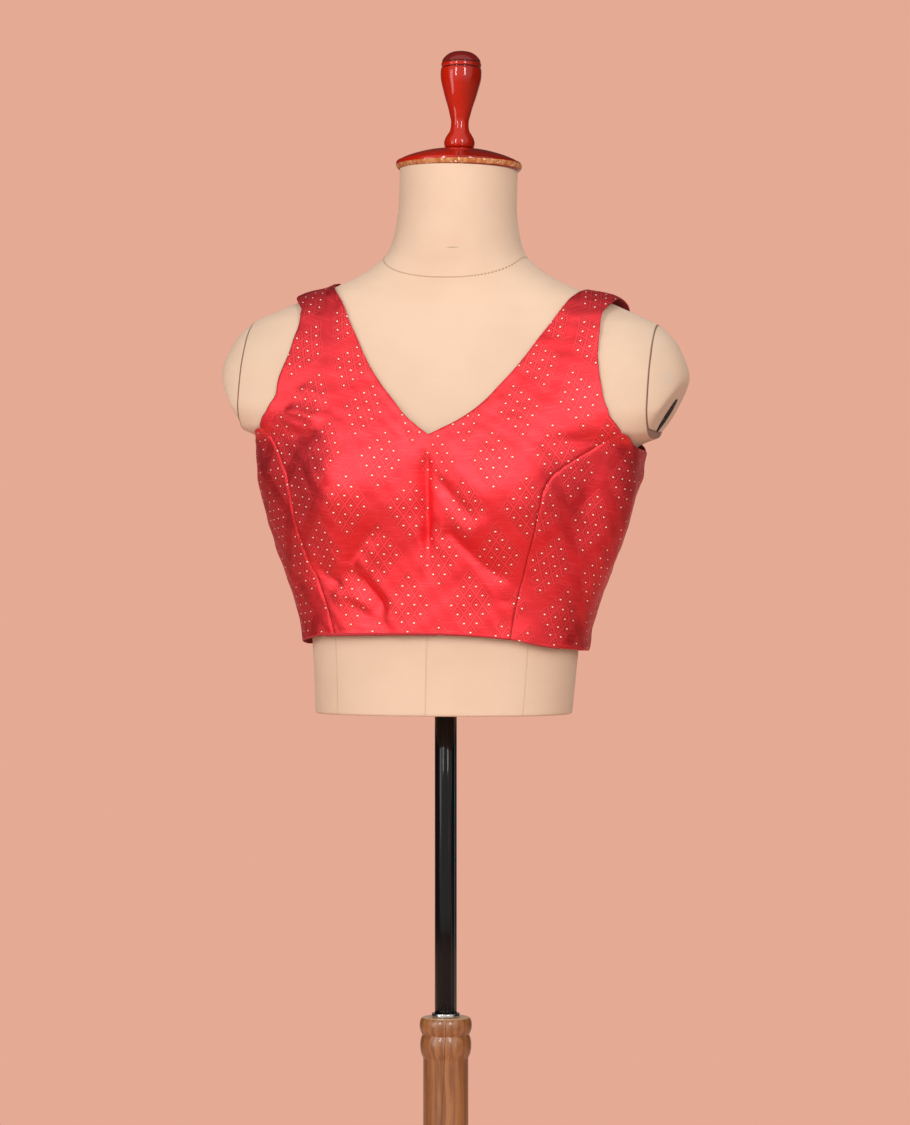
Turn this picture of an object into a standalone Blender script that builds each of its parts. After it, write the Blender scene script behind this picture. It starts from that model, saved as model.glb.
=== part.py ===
"""A sleeveless choli blouse worn by a limbless dress form on a wooden stand.

Metres, +Z up. The form faces -Y and its own left side is +X. The origin is the
point on the ground straight below the pole.
"""

from math import cos, pi, radians, sin

import bmesh
import bpy
import numpy as np
from mathutils import Matrix, Vector

# Places up the stand and the form, and the form's lean to its own left
HUB_BASE = 0.110
HUB_TOP = 0.245
POST_TOP = 0.687
FORM_BOTTOM = 0.963
NECK_TOP = 1.455
LEAN = radians(1.4)

# The stand's own sizes
HUB_WIDTH = 0.060
POLE_RADIUS = 0.010
FERRULE_RADIUS = 0.0128
FERRULE_HEIGHT = 0.0035
LEG_COUNT = 4
LEG_REACH = 0.280
LEG_THICKNESS = 0.026
LEG_TOP = 0.232
LEG_SHOULDER = 0.122
LEG_SHOULDER_RUN = 0.205
LEG_TOP_RUN = 0.215
FOOT_HEIGHT = 0.034
TOE_RADIUS = 0.020
TOE_STEPS = 5
HUB_ROUND = 0.004
LEG_ROUND = 0.003
LEG_STEPS = 11
TURNED_STEPS = 24

# Clearance between touching pieces, and between the panels' outer edges where a
# seam crosses a bend, so that their inner edges keep the clearance too
GAP = 0.0003
SIDE_SEAM_GAP = 0.0007
SHOULDER_SEAM_GAP = 0.0007
PRINCESS_SEAM_GAP = 0.0008
CENTRE_BACK_GAP = 0.0005

# The form's level sections: widest half width, how far back its widest line
# lies, depth to the front and to the back, and how full the corners are (2 is an
# ellipse).
FORM_COLUMNS = ("height", "half_width", "middle", "front", "back", "fullness")
FORM_SECTIONS = (
    (0.963, 0.1165, -0.010, 0.0880, 0.0740, 2.25),
    (1.011, 0.1200, -0.010, 0.0882, 0.0760, 2.25),
    (1.040, 0.1225, -0.011, 0.0885, 0.0780, 2.25),
    (1.065, 0.1290, -0.013, 0.0888, 0.0800, 2.25),
    (1.100, 0.1410, -0.017, 0.0900, 0.0850, 2.25),
    (1.138, 0.1530, -0.020, 0.0930, 0.0900, 2.30),
    (1.175, 0.1630, -0.022, 0.0960, 0.0950, 2.30),
    (1.196, 0.1670, -0.020, 0.0970, 0.0965, 2.35),
    (1.207, 0.1710, -0.018, 0.0965, 0.0970, 2.40),
    (1.219, 0.1950, -0.014, 0.0950, 0.0975, 2.45),
    (1.241, 0.2120, -0.008, 0.0900, 0.0970, 2.60),
    (1.268, 0.2145, -0.002, 0.0810, 0.0940, 2.60),
    (1.295, 0.2058, 0.002, 0.0690, 0.0850, 2.50),
    (1.3155, 0.1880, 0.004, 0.0590, 0.0740, 2.30),
    (1.3240, 0.1700, 0.004, 0.0560, 0.0690, 2.20),
    (1.3320, 0.1520, 0.004, 0.0535, 0.0650, 2.15),
    (1.3400, 0.1330, 0.003, 0.0525, 0.0620, 2.10),
    (1.3475, 0.1135, 0.002, 0.0520, 0.0590, 2.05),
    (1.3560, 0.0940, 0.000, 0.0525, 0.0570, 2.00),
    (1.3650, 0.0790, 0.000, 0.0530, 0.0560, 2.00),
    (1.3780, 0.0640, 0.000, 0.0550, 0.0550, 2.00),
    (1.3940, 0.0575, 0.000, 0.0560, 0.0550, 2.00),
    (1.4240, 0.0534, 0.000, 0.0555, 0.0545, 2.00),
    (1.4550, 0.0534, 0.000, 0.0555, 0.0545, 2.00),
)
FORM_RING_POINTS = 40
# Rings of the loft: from this height, to this height, how many
FORM_RINGS = ((FORM_BOTTOM, 1.196, 13), (1.207, 1.378, 19), (1.388, NECK_TOP, 4))
BUST_HEIGHT = 1.160
BUST_SIDE = 0.082
BUST_RISE = 0.031
BUST_SPREAD = 0.044
BUST_RUN_UP = 0.062
BUST_RUN_DOWN = 0.044

# The arm ends: where they part from the torso, and their flat end
ARM_SEAM = 0.1862
ARM_HEIGHT = 1.260
ARM_END_POINT = (0.1955, 0.0, 1.2360)
ARM_END_TILT = radians(31)
FITTING_LENGTH = 0.034
FITTING_WIDTH = 0.016
FITTING_THICKNESS = 0.0016

# How far the cloth's outside stands off the form
EASE_COLUMNS = ("height", "side", "front", "back")
CLOTH_EASE = (
    (1.015, 0.0090, 0.0072, 0.0095),
    (1.040, 0.0095, 0.0070, 0.0090),
    (1.065, 0.0100, 0.0072, 0.0088),
    (1.102, 0.0110, 0.0070, 0.0084),
    (1.138, 0.0115, 0.0052, 0.0078),
    (1.175, 0.0105, 0.0040, 0.0066),
    (1.207, 0.0070, 0.0038, 0.0056),
    (1.219, 0.0032, 0.0036, 0.0050),
    (1.300, 0.0030, 0.0032, 0.0045),
)
CLOTH_WALL = 0.0015
CLOTH_BUST_BRIDGE = 0.070
CLOTH_BUST_RUN_DOWN = 0.054
STRAP_LIFT_INNER = 0.0019
STRAP_LIFT_OUTER_LEFT = 0.0075
STRAP_LIFT_OUTER_RIGHT = 0.0045
STRAP_LIFT_INNER_SIDE = 0.115
STRAP_LIFT_OUTER_SIDE = 0.146
STRAP_LIFT_FROM = 1.285
STRAP_LIFT_FULL = 1.335

# The cloth is named by the angle round the body from centre front and by the
# rise: the height up to the shoulder level, and above it the run up a dome.
RAY_MIDDLE = -0.005
RAY_REACH = 0.30
RAY_HALVINGS = 34
DOME_LEVEL = 1.200
DOME_RADIUS = 0.170
EDGE_POINTS = 161

# Cut lines of the blouse. It is worn turned and pulled a little to one side, so
# each line has its distance from the centre on the wearer's left and right.
SHOULDER_SEAM_BACK = 0.006
INSIDE_SHOULDERS = 1.250
SHOULDER_ENDS = {"inner": (0.1195, 0.1090), "outer": (0.1485, 0.1450)}
# Neck and armhole lines: height, distance to the left, distance to the right
FRONT_NECKLINE = (
    (1.2115, 0.0000, 0.0000),
    (1.2273, 0.0300, 0.0208),
    (1.2420, 0.0480, 0.0342),
    (1.2560, 0.0597, 0.0467),
    (1.2710, 0.0716, 0.0582),
    (1.2850, 0.0809, 0.0672),
    (1.3000, 0.0899, 0.0760),
    (1.3150, 0.0993, 0.0851),
    (1.3300, 0.1076, 0.0934),
    (1.3400, 0.1138, 0.1010),
)
FRONT_ARMHOLE = (
    (1.2165, 0.1680, 0.1655),
    (1.2240, 0.1628, 0.1613),
    (1.2330, 0.1562, 0.1548),
    (1.2440, 0.1524, 0.1480),
    (1.2555, 0.1490, 0.1464),
    (1.2700, 0.1457, 0.1422),
    (1.2850, 0.1436, 0.1378),
    (1.3000, 0.1425, 0.1352),
    (1.3150, 0.1420, 0.1331),
    (1.3270, 0.1432, 0.1350),
)
BACK_NECKLINE = (
    (1.2200, 0.0000, 0.0000),
    (1.2240, 0.0400, 0.0380),
    (1.2420, 0.0760, 0.0700),
    (1.2720, 0.0980, 0.0880),
    (1.3040, 0.1100, 0.0980),
    (1.3270, 0.1155, 0.1020),
)
BACK_ARMHOLE = (
    (1.2120, 0.1640, 0.1630),
    (1.2280, 0.1540, 0.1520),
    (1.2520, 0.1490, 0.1450),
    (1.2820, 0.1480, 0.1410),
    (1.3120, 0.1480, 0.1400),
)
UNDERARM_RISE = 1.203
UNDERARM_ANGLE = 97.0
UNDERARM_DIP = (0.45, 0.86)
# Princess seams: height, angle of the left one, angle of the right one
PRINCESS_SEAM = (
    (1.030, 43.5, 50.0),
    (1.063, 44.5, 53.0),
    (1.090, 45.4, 56.0),
    (1.115, 45.1, 57.6),
    (1.140, 44.8, 58.2),
    (1.158, 45.3, 58.6),
    (1.174, 48.3, 60.0),
    (1.188, 55.2, 62.4),
    (1.203, 64.0, 65.6),
    (1.2165, 69.5, 68.6),
)
# Hem: angle round the body, height
HEM = (
    (-180.0, 1.0190),
    (-90.0, 1.0225),
    (-78.0, 1.0260),
    (-49.0, 1.0340),
    (-26.0, 1.0357),
    (3.0, 1.0370),
    (24.0, 1.0362),
    (44.0, 1.0335),
    (57.0, 1.0288),
    (67.0, 1.0261),
    (83.0, 1.0238),
    (180.0, 1.0190),
)
CENTRE_BACK_RADIUS = 0.105
PLACKET_WIDTH = 0.026
PLACKET_WALL = 0.0012
PLACKET_SHORT = 0.004
PLACKET_CLEAR = 0.0008

# Turned profiles, down the outer side: radius and height, both in metres
FINIAL_PROFILE = (
    (0.0000, 1.5633),
    (0.0055, 1.5627),
    (0.0112, 1.5605),
    (0.0152, 1.5565),
    (0.0175, 1.5515),
    (0.0171, 1.5502),
    (0.0179, 1.5488),
    (0.0186, 1.5430),
    (0.0182, 1.5370),
    (0.0162, 1.5290),
    (0.0137, 1.5200),
    (0.0108, 1.5109),
    (0.0090, 1.5036),
    (0.0080, 1.4985),
    (0.0086, 1.4920),
    (0.0110, 1.4876),
    (0.0130, 1.4840),
    (0.0139, 1.4805),
    (0.0137, 1.4775),
    (0.0124, 1.4754),
    (0.0110, 1.4749),
    (0.0000, 1.4749),
)
NECK_CAP_PROFILE = (
    (0.0000, 1.4746),
    (0.0146, 1.4746),
    (0.0286, 1.4725),
    (0.0420, 1.4688),
    (0.0520, 1.4648),
    (0.0562, 1.4624),
    (0.0572, 1.4600),
    (0.0566, 1.4570),
    (0.0550, 1.4553),
    (0.0000, 1.4553),
)
POST_PROFILE = (
    (0.0000, 0.6870),
    (0.0212, 0.6870),
    (0.0230, 0.6842),
    (0.0238, 0.6796),
    (0.0230, 0.6748),
    (0.0214, 0.6712),
    (0.0226, 0.6672),
    (0.0233, 0.6618),
    (0.0226, 0.6556),
    (0.0208, 0.6508),
    (0.0205, 0.6490),
    (0.0205, 0.2453),
    (0.0000, 0.2453),
)

# Largest folds: angle and rise of the start, angle and rise of the end, half
# width, and depth of the trough (a minus depth is a ridge).
FOLD_TURN_RADIUS = 0.12
FOLD_FADE = (-0.12, 0.35)
FOLDS = (
    (0.0, 1.200, 1.3, 1.088, 0.011, 0.0032),
    (10.0, 1.131, 42.0, 1.083, 0.009, 0.0034),
    (15.0, 1.141, 41.0, 1.098, 0.011, -0.0022),
    (6.0, 1.173, 27.0, 1.132, 0.012, 0.0026),
    (-22.0, 1.131, -39.5, 1.096, 0.009, 0.0034),
    (-38.5, 1.095, -21.5, 1.053, 0.010, 0.0036),
    (-33.0, 1.124, -47.0, 1.091, 0.010, -0.0022),
    (-56.0, 1.095, -43.0, 1.076, 0.012, 0.0030),
    (-45.0, 1.064, -20.0, 1.037, 0.012, 0.0026),
    (-66.0, 1.251, -52.0, 1.243, 0.010, 0.0014),
    (-70.0, 1.217, -44.0, 1.206, 0.011, 0.0014),
    (62.0, 1.190, 66.0, 1.110, 0.012, 0.0022),
    (74.0, 1.175, 76.0, 1.080, 0.013, -0.0022),
    (-76.0, 1.170, -72.0, 1.085, 0.013, 0.0022),
    (112.0, 1.165, 112.0, 1.215, 0.030, -0.0100),
    (110.0, 1.152, 116.0, 1.108, 0.020, -0.0105),
    (122.0, 1.150, 150.0, 1.090, 0.014, 0.0034),
    (150.0, 1.195, 172.0, 1.130, 0.014, 0.0030),
    (-112.0, 1.175, -114.0, 1.212, 0.028, -0.0060),
    (-118.0, 1.150, -146.0, 1.095, 0.014, 0.0034),
    (-152.0, 1.190, -170.0, 1.120, 0.015, 0.0028),
)


def column_of(rows, columns, name, height):
    """Read one column of a table at any height, with no overshoot between rows."""
    table = np.asarray(rows)
    known = table[:, columns.index("height")]
    value = table[:, columns.index(name)]
    return smooth_through(known, value, height)


def smooth_through(known, value, wanted):
    """A smooth curve through points, flat at each turning point."""
    step = np.diff(known)
    slope = np.diff(value) / step
    tangent = np.zeros_like(value)
    turning = slope[:-1] * slope[1:] <= 0.0
    safe_before = np.where(turning, 1.0, slope[:-1])
    safe_after = np.where(turning, 1.0, slope[1:])
    tangent[1:-1] = np.where(turning, 0.0, 2.0 / (1.0 / safe_before + 1.0 / safe_after))
    tangent[0] = slope[0]
    tangent[-1] = slope[-1]
    wanted = np.clip(wanted, known[0], known[-1])
    piece = np.clip(np.searchsorted(known, wanted, "right") - 1, 0, len(step) - 1)
    width = step[piece]
    t = (wanted - known[piece]) / width
    return (
        (1 + 2 * t) * (1 - t) ** 2 * value[piece]
        + t * (1 - t) ** 2 * width * tangent[piece]
        + t**2 * (3 - 2 * t) * value[piece + 1]
        + t**2 * (t - 1) * width * tangent[piece + 1]
    )


def soft_step(value, start, end):
    """0 before start, 1 after end, smooth between."""
    t = np.clip((value - start) / (end - start), 0.0, 1.0)
    return t * t * (3.0 - 2.0 * t)


def bust(side, height, bridge, run_down):
    """Depth that the bust adds; bridge and run_down say how softly it falls away."""
    across = np.abs(side) - BUST_SIDE
    spread = np.where(across < 0.0, bridge, BUST_SPREAD)
    up = height - BUST_HEIGHT
    run = np.where(up > 0.0, BUST_RUN_UP, run_down)
    return BUST_RISE * np.exp(-((across / spread) ** 2) - (up / run) ** 2)


def section_at(height):
    """Half width, middle, front, back and fullness of the form at each height."""
    return [column_of(FORM_SECTIONS, FORM_COLUMNS, name, height) for name in FORM_COLUMNS[1:]]


def beyond_cloth(point):
    """Below 0 inside the cloth's outer surface, above 0 outside it."""
    side, depth, height = point
    inner_to_outer = soft_step(np.abs(side), STRAP_LIFT_INNER_SIDE, STRAP_LIFT_OUTER_SIDE)
    outer_lift = np.where(side > 0.0, STRAP_LIFT_OUTER_LEFT, STRAP_LIFT_OUTER_RIGHT)
    lift = STRAP_LIFT_INNER + (outer_lift - STRAP_LIFT_INNER) * inner_to_outer
    level = height - lift * soft_step(height, STRAP_LIFT_FROM, STRAP_LIFT_FULL)
    half_width, middle, front, back, fullness = section_at(level)
    half_width = half_width + column_of(CLOTH_EASE, EASE_COLUMNS, "side", height)
    front = front + column_of(CLOTH_EASE, EASE_COLUMNS, "front", height)
    back = back + column_of(CLOTH_EASE, EASE_COLUMNS, "back", height)
    front = front + bust(side, level, CLOTH_BUST_BRIDGE, CLOTH_BUST_RUN_DOWN)
    apart = depth - middle
    reach = np.where(apart < 0.0, front + middle, back - middle)
    return np.abs(side / half_width) ** fullness + np.abs(apart / reach) ** fullness - 1.0


def march(start, direction):
    """Distance along each ray to the cloth's outer surface, by halving."""
    near = np.zeros(np.shape(start[0] + direction[0]))
    far = near + RAY_REACH
    for _ in range(RAY_HALVINGS):
        middle = 0.5 * (near + far)
        outside = beyond_cloth([s + d * middle for s, d in zip(start, direction)]) > 0.0
        near = np.where(outside, near, middle)
        far = np.where(outside, middle, far)
    return near


def fold_depth(angle, rise):
    """How far the folds push the cloth out at each place."""
    total = np.zeros(np.shape(angle))
    for angle_0, rise_0, angle_1, rise_1, half_width, depth in FOLDS:
        turn = radians(angle_1 - angle_0)
        run = np.array((turn * FOLD_TURN_RADIUS, rise_1 - rise_0))
        length = np.hypot(*run)
        along_line = run / length
        across_line = np.array((-along_line[1], along_line[0]))
        apart = (angle - radians(angle_0) + pi) % (2 * pi) - pi
        offset = (apart * FOLD_TURN_RADIUS, rise - rise_0)
        along = (offset[0] * along_line[0] + offset[1] * along_line[1]) / length
        across = (offset[0] * across_line[0] + offset[1] * across_line[1]) / half_width
        ends = soft_step(along, *FOLD_FADE) * soft_step(1.0 - along, *FOLD_FADE)
        total = total - depth * ends * np.exp(-(across**2))
    return total


def ray_of(angle, rise):
    """Start and direction of the ray that names a place on the cloth."""
    tilt = np.maximum(rise - DOME_LEVEL, 0.0) / DOME_RADIUS
    start = (0.0 * angle, 0.0 * angle + RAY_MIDDLE, np.minimum(rise, DOME_LEVEL) + 0.0 * angle)
    direction = (np.sin(angle) * np.cos(tilt), -np.cos(angle) * np.cos(tilt), np.sin(tilt))
    return start, direction


def cloth_point(angle, rise, inward=0.0):
    """Places on the cloth's outside, or a distance inward from it."""
    start, direction = ray_of(angle, rise)
    distance = march(start, direction) + fold_depth(angle, rise) - inward
    return np.stack([s + d * distance for s, d in zip(start, direction)], axis=-1)


def name_of(point):
    """The angle and rise that name a point on the cloth."""
    side, depth, height = point
    depth = depth - RAY_MIDDLE
    angle = np.arctan2(side, -depth)
    over = np.arctan2(np.maximum(height - DOME_LEVEL, 0.0), np.hypot(side, depth))
    return np.stack([angle, np.minimum(height, DOME_LEVEL) + over * DOME_RADIUS], axis=-1)


def named_on_sheet(rows, half, toward):
    """Names of a cut line's rows on one half, on the front (-1) or the back (+1)."""
    height, left, right = np.asarray(rows).T
    side = left if half > 0 else -right
    direction = (0.0 * side, 0.0 * side + toward, 0.0 * side)
    start = (side, 0.0 * side, height)
    distance = march(start, direction)
    names = name_of([s + d * distance for s, d in zip(start, direction)])
    if toward > 0:
        names[:, 0] = np.abs(names[:, 0]) * half
    return names


def named_on_shoulder(edge, half, shift):
    """Name of a strap's end on the shoulder, moved to the back by shift."""
    left, right = SHOULDER_ENDS[edge]
    side = left if half > 0 else -right
    start = (np.array(side), np.array(SHOULDER_SEAM_BACK + shift), np.array(INSIDE_SHOULDERS))
    direction = (np.array(0.0), np.array(0.0), np.array(1.0))
    distance = march(start, direction)
    return name_of([s + d * distance for s, d in zip(start, direction)])


def smooth_edge(names, count=EDGE_POINTS):
    """A smooth line through named places, evenly spaced along the cloth."""
    names = np.asarray(names)
    legs = np.diff(cloth_point(names[:, 0], names[:, 1]), axis=0)
    knot = np.concatenate(([0.0], np.cumsum(np.linalg.norm(legs, axis=1))))
    fine = np.linspace(0.0, knot[-1], count)
    line = np.stack([smooth_through(knot, names[:, axis], fine) for axis in (0, 1)], axis=-1)
    places = cloth_point(line[:, 0], line[:, 1])
    run = np.concatenate(([0.0], np.cumsum(np.linalg.norm(np.diff(places, axis=0), axis=1))))
    even = np.linspace(0.0, run[-1], count)
    return np.stack([np.interp(even, run, line[:, axis]) for axis in (0, 1)], axis=-1)


def along(edge, fraction):
    """The places at fractions of an edge's length."""
    known = np.linspace(0.0, 1.0, len(edge))
    return np.stack([np.interp(fraction, known, edge[:, axis]) for axis in (0, 1)], axis=-1)


def moved_aside(edge, distance):
    """A line moved square to itself along the cloth; up the body, plus is to the right."""
    places = cloth_point(edge[:, 0], edge[:, 1])
    radius = np.hypot(places[:, 0], places[:, 1] - RAY_MIDDLE)
    run = np.gradient(edge, axis=0)
    run[:, 0] *= radius
    run /= np.linalg.norm(run, axis=1)[:, None]
    moved = edge.copy()
    moved[:, 0] += distance * run[:, 1] / radius
    moved[:, 1] -= distance * run[:, 0]
    return moved


def straight_edge(first, last):
    """A line from one named place to another, straight in angle and rise."""
    t = np.linspace(0.0, 1.0, EDGE_POINTS)[:, None]
    return (1 - t) * first + t * last


def hem_rise(angle):
    """The hem's rise at each angle round the body."""
    known_angle, height = np.asarray(HEM).T
    wrapped = (np.degrees(angle) + 180.0) % 360.0 - 180.0
    return smooth_through(known_angle, height, wrapped)


def hem_edge(start_angle, end_angle):
    """The hem from one angle to another."""
    angle = np.linspace(start_angle, end_angle, EDGE_POINTS)
    return np.stack([angle, hem_rise(angle)], axis=-1)


def princess_edge(half, shift):
    """One princess seam from the hem up, moved aside by shift."""
    height, left_angle, right_angle = np.asarray(PRINCESS_SEAM).T
    angle = np.radians(left_angle if half > 0 else -right_angle)
    start = (0.0 * angle, 0.0 * angle + RAY_MIDDLE, height)
    direction = (np.sin(angle), -np.cos(angle), 0.0 * angle)
    distance = march(start, direction)
    names = name_of([s + d * distance for s, d in zip(start, direction)])
    edge = moved_aside(smooth_edge(names), shift)
    edge[0, 1] = hem_rise(edge[0, 0])
    return edge


def patch(left, right, bottom, top, columns, rows):
    """Names of a grid of places between four edges that share their corners."""
    s = np.linspace(0.0, 1.0, columns + 1)[None, :, None]
    t = np.linspace(0.0, 1.0, rows + 1)[:, None, None]
    left_line = along(left, t[:, 0, 0])[:, None, :]
    right_line = along(right, t[:, 0, 0])[:, None, :]
    bottom_line = along(bottom, s[0, :, 0])[None, :, :]
    top_line = along(top, s[0, :, 0])[None, :, :]
    corners = (
        (1 - s) * (1 - t) * bottom[0]
        + s * (1 - t) * bottom[-1]
        + (1 - s) * t * top[0]
        + s * t * top[-1]
    )
    return (1 - s) * left_line + s * right_line + (1 - t) * bottom_line + t * top_line - corners


def front_center_grids(columns=10, rows=18, strap_rows=14):
    """Named grids of the front: one below the neck point and one up each strap."""
    seams = {half: princess_edge(half, -half * PRINCESS_SEAM_GAP / 2) for half in (1, -1)}
    neck_point = np.array((0.0, named_on_sheet(FRONT_NECKLINE[:1], 1, -1.0)[0, 1]))
    levels = {half: straight_edge(neck_point, seams[half][-1]) for half in (1, -1)}
    grids = []
    for half in (1, -1):
        neckline = named_on_sheet(FRONT_NECKLINE, half, -1.0)
        neckline[0] = neck_point
        armhole = named_on_sheet(FRONT_ARMHOLE, half, -1.0)
        armhole[0] = seams[half][-1]
        inner = named_on_shoulder("inner", half, -SHOULDER_SEAM_GAP / 2)
        outer = named_on_shoulder("outer", half, -SHOULDER_SEAM_GAP / 2)
        neckline = smooth_edge(np.vstack([neckline, inner]))
        armhole = smooth_edge(np.vstack([armhole, outer]))
        shoulder = straight_edge(neckline[-1], armhole[-1])
        strap = patch(neckline, armhole, levels[half], shoulder, columns, strap_rows)
        grids.append(strap if half > 0 else strap[:, ::-1, :])
    level = np.vstack([levels[-1][::-2], levels[1][2::2]])
    hem = hem_edge(seams[-1][0, 0], seams[1][0, 0])
    grids.append(patch(seams[-1], seams[1], hem, level, 2 * columns, rows))
    return grids


def front_side_grids(half, columns=7, rows=18):
    """Named grid of a side front, from the princess seam to the side seam."""
    front = princess_edge(half, half * PRINCESS_SEAM_GAP / 2)
    top_end = np.array((radians(UNDERARM_ANGLE) * half, UNDERARM_RISE))
    hem_end = np.array((top_end[0], hem_rise(top_end[0])))
    side = moved_aside(straight_edge(hem_end, top_end), -half * SIDE_SEAM_GAP / 2)
    hem = hem_edge(front[0, 0], side[0, 0])
    dip = front[-1] + (side[-1] - front[-1]) * UNDERARM_DIP
    top = smooth_edge(np.vstack([front[-1], dip, side[-1]]))
    names = patch(front, side, hem, top, columns, rows)
    return [names if half > 0 else names[:, ::-1, :]]


def back_grids(half, columns=11, rows=13, strap_rows=10):
    """Named grids of a back, from the side seam to the centre back opening."""
    top_end = np.array((radians(UNDERARM_ANGLE) * half, UNDERARM_RISE))
    hem_end = np.array((top_end[0], hem_rise(top_end[0])))
    side = moved_aside(straight_edge(hem_end, top_end), half * SIDE_SEAM_GAP / 2)
    neck_names = named_on_sheet(BACK_NECKLINE, half, 1.0)
    neck_names[0, 0] = pi * half
    centre_bottom = np.array((pi * half, hem_rise(pi)))
    centre = moved_aside(straight_edge(centre_bottom, neck_names[0]), -half * CENTRE_BACK_GAP / 2)
    neck_names[0] = centre[-1]
    inner = named_on_shoulder("inner", half, SHOULDER_SEAM_GAP / 2)
    outer = named_on_shoulder("outer", half, SHOULDER_SEAM_GAP / 2)
    neckline = smooth_edge(np.vstack([neck_names, inner]))
    armhole = smooth_edge(np.vstack([side[-1], named_on_sheet(BACK_ARMHOLE, half, 1.0), outer]))
    level = straight_edge(side[-1], centre[-1])
    hem = hem_edge(side[0, 0], centre[0, 0])
    lower = patch(side, centre, hem, level, columns, rows)
    shoulder = straight_edge(armhole[-1], neckline[-1])
    upper = patch(armhole, neckline, level, shoulder, columns, strap_rows)
    return [lower, upper] if half > 0 else [lower[:, ::-1, :], upper[:, ::-1, :]]


def placket_grids(columns=3, rows=15):
    """Named grid of the strip under the centre back opening."""
    half_turn = PLACKET_WIDTH / 2 / CENTRE_BACK_RADIUS
    bottom = hem_rise(pi) + PLACKET_SHORT
    top = named_on_sheet(BACK_NECKLINE[:1], 1, 1.0)[0, 1] - PLACKET_SHORT
    sides = [
        straight_edge(np.array((pi + turn, bottom)), np.array((pi + turn, top)))
        for turn in (-half_turn, half_turn)
    ]
    ends = [straight_edge(sides[0][end], sides[1][end]) for end in (0, -1)]
    return [patch(*sides, *ends, columns, rows)]


def lean(points):
    """Turn points about the form's foot by its lean."""
    turned = np.array(points, dtype=float)
    up = turned[..., 2] - FORM_BOTTOM
    side = turned[..., 0].copy()
    turned[..., 0] = side * cos(LEAN) + up * sin(LEAN)
    turned[..., 2] = FORM_BOTTOM + up * cos(LEAN) - side * sin(LEAN)
    return turned


def material(name, colour, roughness, metallic=0.0):
    """A plain material."""
    made = bpy.data.materials.new(name)
    made.use_nodes = True
    shader = made.node_tree.nodes["Principled BSDF"]
    shader.inputs["Base Color"].default_value = (*colour, 1.0)
    shader.inputs["Roughness"].default_value = roughness
    shader.inputs["Metallic"].default_value = metallic
    made.diffuse_color = (*colour, 1.0)
    return made


def add_object(name, data, finish, collection):
    """Put a mesh or curve in the collection as one named piece."""
    piece = bpy.data.objects.new(name, data)
    collection.objects.link(piece)
    data.materials.append(finish)
    return piece


def sheet_mesh(name, grids):
    """One open mesh from grids of points that share points on common edges."""
    mesh = bpy.data.meshes.new(name)
    points = []
    faces = []
    for grid in grids:
        rows, columns = grid.shape[:2]
        base = len(points)
        points.extend(map(tuple, grid.reshape(-1, 3)))
        for row in range(rows - 1):
            for column in range(columns - 1):
                corner = base + row * columns + column
                faces.append((corner, corner + 1, corner + columns + 1, corner + columns))
    mesh.from_pydata(points, [], faces)
    shape = bmesh.new()
    shape.from_mesh(mesh)
    bmesh.ops.remove_doubles(shape, verts=shape.verts, dist=1e-5)
    shape.to_mesh(mesh)
    shape.free()
    mesh.shade_smooth()
    return mesh


def cloth_panel(name, patches, finish, collection, inward=0.0, wall=CLOTH_WALL):
    """A cloth panel: its outer surface, thickened inward."""
    grids = [lean(cloth_point(names[..., 0], names[..., 1], inward)) for names in patches]
    piece = add_object(name, sheet_mesh(name, grids), finish, collection)
    thicken = piece.modifiers.new("Wall", "SOLIDIFY")
    thicken.thickness = wall
    thicken.offset = -1.0
    return piece


def make_blouse(finish, collection):
    """All the cloth panels."""
    cloth_panel("front_center", front_center_grids(), finish, collection)
    for half, side in ((1, "left"), (-1, "right")):
        cloth_panel(f"front_side_{side}", front_side_grids(half), finish, collection)
        cloth_panel(f"back_{side}", back_grids(half), finish, collection)
    under = CLOTH_WALL + PLACKET_CLEAR
    cloth_panel("back_placket", placket_grids(), finish, collection, under, PLACKET_WALL)


def form_mesh(name):
    """The closed form with its arm ends: a loft through its level sections."""
    heights = np.concatenate([np.linspace(*stretch) for stretch in FORM_RINGS])
    turn = np.linspace(0.0, 2 * pi, FORM_RING_POINTS, endpoint=False)
    rings = []
    for height in heights:
        half_width, middle, front, back, fullness = section_at(height)
        sine, cosine = np.sin(turn), np.cos(turn)
        side = half_width * np.sign(sine) * np.abs(sine) ** (2 / fullness)
        front = front + bust(side, height, BUST_SPREAD, BUST_RUN_DOWN)
        reach = np.where(cosine > 0, front + middle, back - middle)
        depth = middle - reach * np.sign(cosine) * np.abs(cosine) ** (2 / fullness)
        rings.append(np.stack([side, depth, np.full_like(side, height)], axis=-1))
    rings = np.array(rings)
    # The cut foot stays level though the form leans
    rings[0, :, 2] = FORM_BOTTOM + rings[0, :, 0] * sin(LEAN) / cos(LEAN)
    points = lean(rings).reshape(-1, 3)
    count = FORM_RING_POINTS
    faces = [tuple(range(count))[::-1], tuple(range(len(points) - count, len(points)))]
    for ring in range(len(heights) - 1):
        for step in range(count):
            after = (step + 1) % count
            low, high = ring * count, (ring + 1) * count
            faces.append((low + step, low + after, high + after, high + step))
    mesh = bpy.data.meshes.new(name)
    mesh.from_pydata([tuple(point) for point in points], [], faces)
    return mesh


def cut(shape, point, normal):
    """Cut away what lies on the normal's side of a plane and close the cut."""
    whole = shape.verts[:] + shape.edges[:] + shape.faces[:]
    bmesh.ops.bisect_plane(
        shape, geom=whole, dist=1e-7, plane_co=point, plane_no=normal, clear_outer=True
    )
    open_edges = [edge for edge in shape.edges if edge.is_boundary]
    bmesh.ops.contextual_create(shape, geom=open_edges)


def leaning_plane(point, normal):
    """A plane of the upright form, leaned with it."""
    turned = Vector(lean(point))
    return turned, Matrix.Rotation(LEAN, 3, "Y") @ Vector(normal)


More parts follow.
